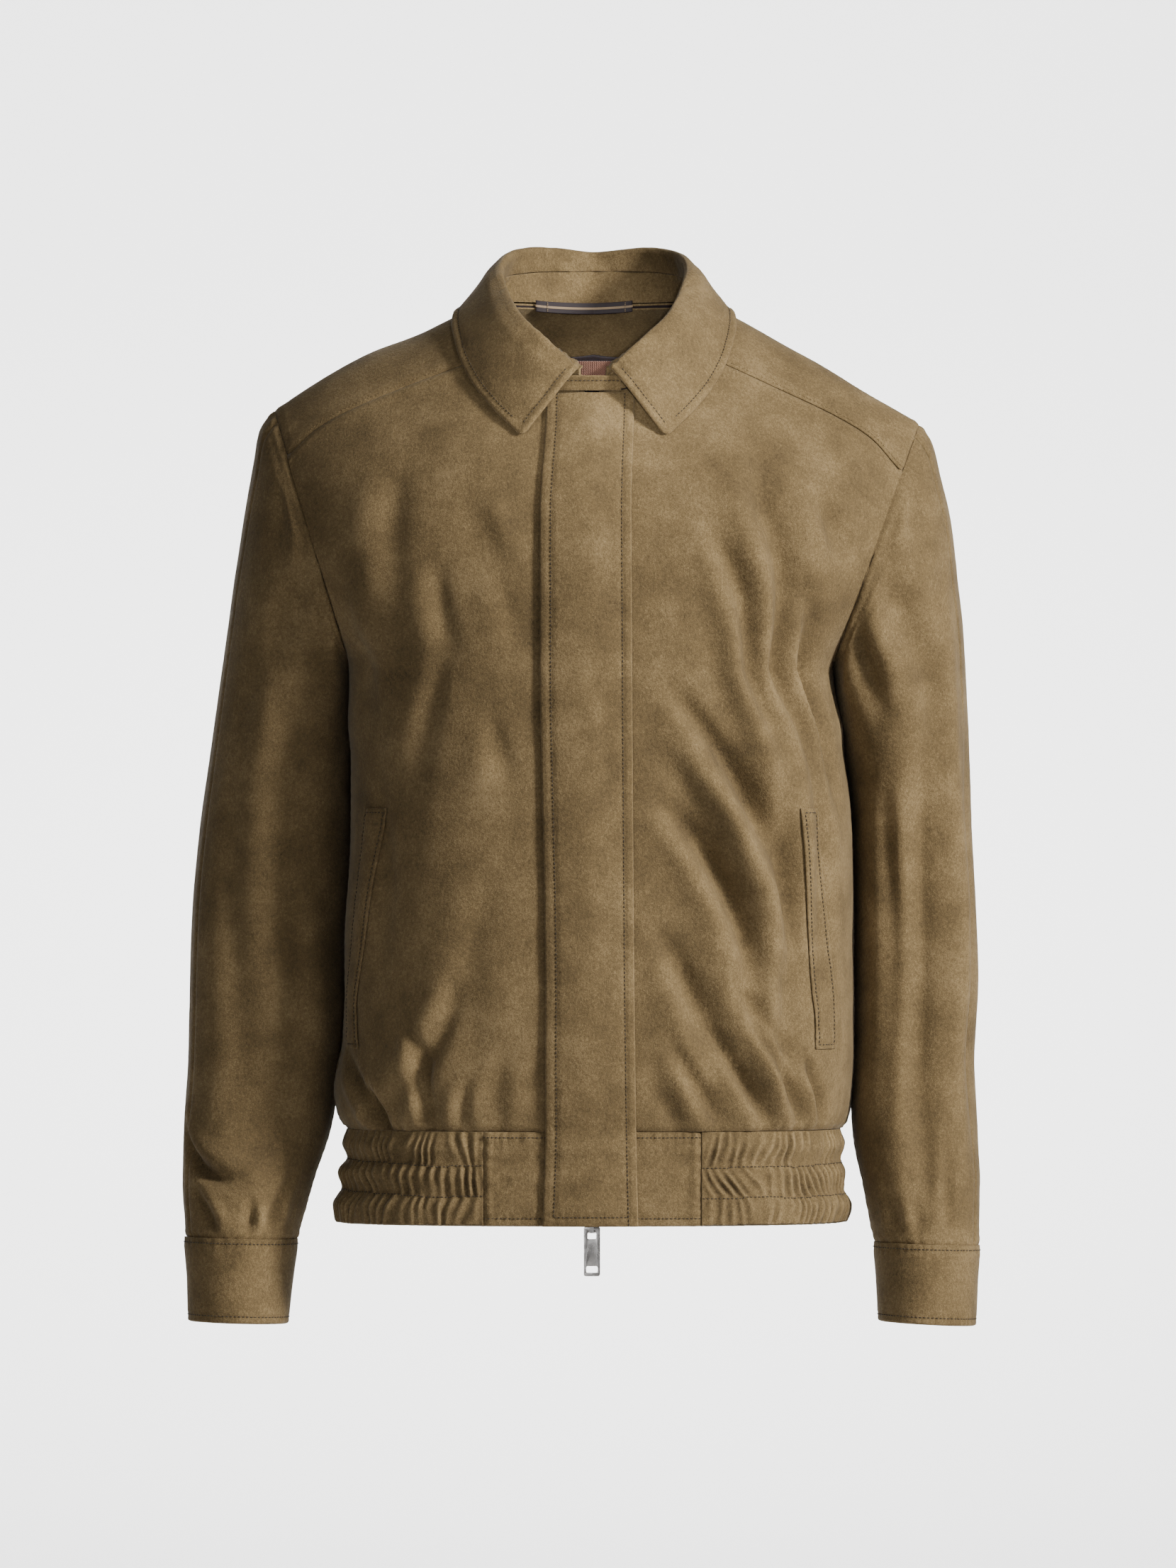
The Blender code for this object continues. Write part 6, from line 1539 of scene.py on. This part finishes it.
def make_hanger():
    """The hanger loop with its stripe, sewn down near both ends."""
    share = np.linspace(0, 1, 90)[None, :]
    level = np.linspace(0, 1, 16)[:, None]
    x = HANGER["left"] + (HANGER["right"] - HANGER["left"]) * share
    belly = np.sin(math.pi * share) ** 0.7
    seam_z = smooth(np.abs(x), NECK_BACK["out"], NECK_BACK["z"])
    behind = plain_body(theta_at(x, seam_z, True), seam_z)[..., 1] - HANGER["off"] - HANGER["slack"] * belly
    z = HANGER["bottom"] + (HANGER["top"] - HANGER["bottom"]) * level - HANGER["sag"] * belly
    points = np.stack([x + 0 * level, behind + 0 * level, z], -1)
    panel = Panel(points, TAPE)
    made = cloth("hanger_loop_cloth", panel, ["hanger_loop"], (TAPE_FINISH, TAPE_FINISH))
    facing = panel.facing()
    front = points + facing * STRIPE["proud"]
    rows = slice(STRIPE["low"], STRIPE["high"])
    stripe = Panel(front[rows], STRIPE["wall"], normals=facing[rows])
    woven = cloth("hanger_stripe", stripe, [], (STRIPE_FINISH, STRIPE_FINISH), rim_wear_and_highlight=0)
    bars = [(front[1:-1, at], facing[1:-1, at]) for at in HANGER_BARS]
    stitches("hanger_bar_stitches", bars, STRIPE_FINISH, pitch=1.0, wide=0.45)


# ---- zip -----------------------------------------------------------------------------------------

def make_zip():
    """Tapes behind the edges of both fronts, and rows of teeth between them."""
    z = np.linspace(HEM_Z + 1, -62, 200)
    shown = np.where(z < WAIST_Z, BAND, 2.0) + 0.4
    for side, name in SIDES:
        edge_x = ZIP_X + side * (FRONT_GAP + 0.2)
        x = edge_x + np.array([0, side * (TAPE_WIDTH - 1)])[None, :] + 0 * z[:, None]
        y = front_y(x, z[:, None] + 0 * x) + shown[:, None]
        grid = np.stack([x, y, z[:, None] + 0 * x], -1)
        if side < 0:
            grid = grid[:, ::-1]
        share = np.linspace(0, 1, 8)[None, :, None]
        panel = Panel(grid[:, :1] * (1 - share) + grid[:, 1:] * share, TAPE)
        sewn("zip_tape_" + name, panel, flat=(0.012, 0.585), finishes=(ZIP_CLOTH_FINISH,) * 2,
             slot="zip_cloth", rim_wear_and_highlight=0)
    teeth = bmesh.new()
    low = SLIDER_TOP + TOOTH["start"]
    for k in range(int((TOOTH["end_z"] - low) / TOOTH["pitch"])):
        height = low + TOOTH["pitch"] * k
        side = 1 if k % 2 else -1
        y = float(front_y(ZIP_X, height)) + TOOTH["behind"]
        box = bmesh.ops.create_cube(teeth, size=1.0)["verts"]
        place = Matrix.Translation(Vector((ZIP_X + side * TOOTH["aside"], y, height)) * MM)
        size = Matrix.Diagonal((*(length * MM for length in TOOTH["size"]), 1))
        bmesh.ops.transform(teeth, verts=box, matrix=place @ size)
    bmesh.ops.bevel(teeth, geom=list(teeth.edges), offset=TOOTH["bevel"] * MM, segments=1, affect="EDGES")
    plain_mesh("zip_teeth", teeth, METAL_FINISH, "jacket", ["zip_chain"])
    for place in frame["nodes"]["zip_slider"].material_slots:
        place.material = METAL_FINISH


def plain_mesh(name, shape, finish_, body_name, nodes=()):
    """A piece made from a built shape, with its finish, body and nodes."""
    mesh = bpy.data.meshes.new(name)
    shape.to_mesh(mesh)
    shape.free()
    mesh.materials.append(finish_)
    made = added(name, mesh)
    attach(made, body_name)
    if nodes:
        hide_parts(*nodes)
    return made


def rounded(left, right, low, high, radius, turns=5):
    """Corner points of a rectangle with round corners."""
    corners = ((right - radius, high - radius, 0), (left + radius, high - radius, 90),
               (left + radius, low + radius, 180), (right - radius, low + radius, 270))
    return [(x + radius * math.cos(math.radians(a + k * 90 / turns)),
             z + radius * math.sin(math.radians(a + k * 90 / turns)))
            for x, z, a in corners for k in range(turns + 1)]


def make_pull():
    """The hanging pull: a plate with two windows and softened edges."""
    half = PULL["width"] / 2
    pin = Vector(frame["joints"][0]["pos_m"])
    bottom = PULL["above_pin"] - PULL["length"]
    upper = (PULL_ACROSS[1], PULL_ACROSS[2], PULL_DOWN[2], -PULL["above_pin"])
    lower = (PULL_ACROSS[0], PULL_ACROSS[3], PULL_DOWN[0], PULL_DOWN[1])
    curve = bpy.data.curves.new("pull_outline", "CURVE")
    curve.dimensions, curve.fill_mode = "2D", "BOTH"
    soft = PULL["edge"]
    curve.extrude, curve.bevel_depth, curve.bevel_resolution = (PULL["thick"] / 2 - soft) * MM, soft * MM, 3
    curve.offset = -soft * MM
    shapes = (rounded(-half, half, bottom, PULL["above_pin"], 1.6), rounded(*upper, 0.9),
              rounded(*lower, 1.2))
    for outline in shapes:
        line = curve.splines.new("POLY")
        line.points.add(len(outline) - 1)
        for point, (x, z) in zip(line.points, outline):
            point.co = (x * MM, z * MM, 0, 1)
        line.use_cyclic_u = True
    holder = added("pull_outline", curve)
    mesh = bpy.data.meshes.new_from_object(holder.evaluated_get(bpy.context.evaluated_depsgraph_get()))
    bpy.data.objects.remove(holder)
    mesh.transform(Matrix.Translation(pin) @ Matrix.Rotation(math.pi / 2, 4, "X"))
    shape = bmesh.new()
    shape.from_mesh(mesh)
    bmesh.ops.remove_doubles(shape, verts=shape.verts, dist=0.00001)
    made = plain_mesh("zip_pull_plate", shape, METAL_FINISH, "zip_pull", ["zip_pull"])
    made.data.shade_smooth()
    made.data.set_sharp_from_angle(angle=math.radians(40))


# ---- room ----------------------------------------------------------------------------------------

def make_room():
    """Pale paper behind the jacket, faint light from all round, and the lamps."""
    paper = bpy.data.materials.new("pale_paper")
    paper.use_nodes = True
    shader = paper.node_tree.nodes["Principled BSDF"]
    shader.inputs["Base Color"].default_value = (0.80, 0.80, 0.80, 1)
    shader.inputs["Roughness"].default_value = 0.9
    shader.inputs["Specular IOR Level"].default_value = 0.1
    behind = node(paper.node_tree, "NewGeometry").outputs["Backfacing"]
    paper.node_tree.links.new(calc(paper.node_tree, "SUBTRACT", 1.0, behind), shader.inputs["Alpha"])
    floor_z, wall_y, bend, wide, near, high = (SWEEP[key] for key in SWEEP)
    profile = [(near, floor_z), (wall_y - bend, floor_z)]
    profile += [(wall_y - bend + bend * math.sin(a), floor_z + bend * (1 - math.cos(a)))
                for a in np.linspace(0.1, math.pi / 2, 12)]
    profile += [(wall_y, high)]
    points = [(x, y, z) for y, z in profile for x in (-wide, wide)]
    faces = [(2 * k, 2 * k + 1, 2 * k + 3, 2 * k + 2) for k in range(len(profile) - 1)]
    mesh = bpy.data.meshes.new("sweep")
    mesh.from_pydata(points, [], faces)
    mesh.materials.append(paper)
    mesh.shade_smooth()
    added("sweep", mesh)
    world = bpy.data.worlds.new("studio")
    bpy.context.scene.world = world
    world.use_nodes = True
    sky = world.node_tree.nodes["Background"]
    sky.inputs[0].default_value = (1.0, 0.99, 0.98, 1)
    sky.inputs[1].default_value = WORLD_LIGHT
    soft = bpy.data.lights.new("neck", "SPOT")
    soft.energy, soft.spot_blend = NECK_LIGHT["power"], 1.0
    soft.spot_size, soft.shadow_soft_size = math.radians(NECK_LIGHT["angle"]), NECK_LIGHT["size"]
    hang("neck", soft, NECK_LIGHT["place"], NECK_LIGHT["aim"])
    for name, place, size, power, tint, aim in LIGHTS:
        lamp = bpy.data.lights.new(name, "AREA")
        lamp.shape, lamp.size, lamp.energy, lamp.color = "DISK", size, power, tint
        lamp.spread = math.radians(LIGHT_SPREAD)
        hang(name, lamp, place, aim)


def hang(name, lamp, place, aim):
    """Puts a lamp in its place, pointed at its aim."""
    holder = added(name, lamp)
    holder.location = place
    holder.rotation_euler = (Vector(aim) - holder.location).to_track_quat("-Z", "Y").to_euler()


# Paper sweep behind the jacket, in metres.
SWEEP = {"floor_z": -1.05, "wall_y": 3.2, "bend": 1.2, "half_width": 9.0, "near_y": -9.0, "top_z": 7.0}
WORLD_LIGHT = 0.04
LIGHT_SPREAD = 60       # degrees
NECK_LIGHT = {"power": 1250.0, "angle": 2.2, "size": 0.08, "place": (0.15, -3.7, -0.05),
              "aim": (-0.004, 0.07, -0.047)}
# Name, place, size, power, tint and what it points at.
LIGHTS = (
    ("key", (4.6, -3.1, 1.7), 1.2, 84.0, (1.0, 0.985, 0.96), (0.05, 0, -0.12)),
    ("top", (1.0, -1.6, 3.0), 1.2, 4.5, (1.0, 1.0, 1.0), (0, 0, -0.2)),
    ("fill", (-1.6, -5.2, 0.6), 2.0, 8.0, (0.97, 0.985, 1.0), (0, 0, -0.3)),
    ("wall_left", (-2.6, 0.9, 2.4), 1.5, 66.0, (1.0, 1.0, 1.0), (0, 3.2, -0.3)),
    ("wall_right", (2.6, 0.9, 2.4), 1.5, 66.0, (1.0, 1.0, 1.0), (0, 3.2, -0.3)),
)

make_body()
for side, name in SIDES:
    make_cuff(side, name)
    make_pocket(side, name)
make_waist_tabs()
make_elastic()
make_collar()
make_collar_tab()
make_placket()
make_neck_inside()
make_neck_rib()
make_hanger()
make_zip()
make_pull()
make_room()
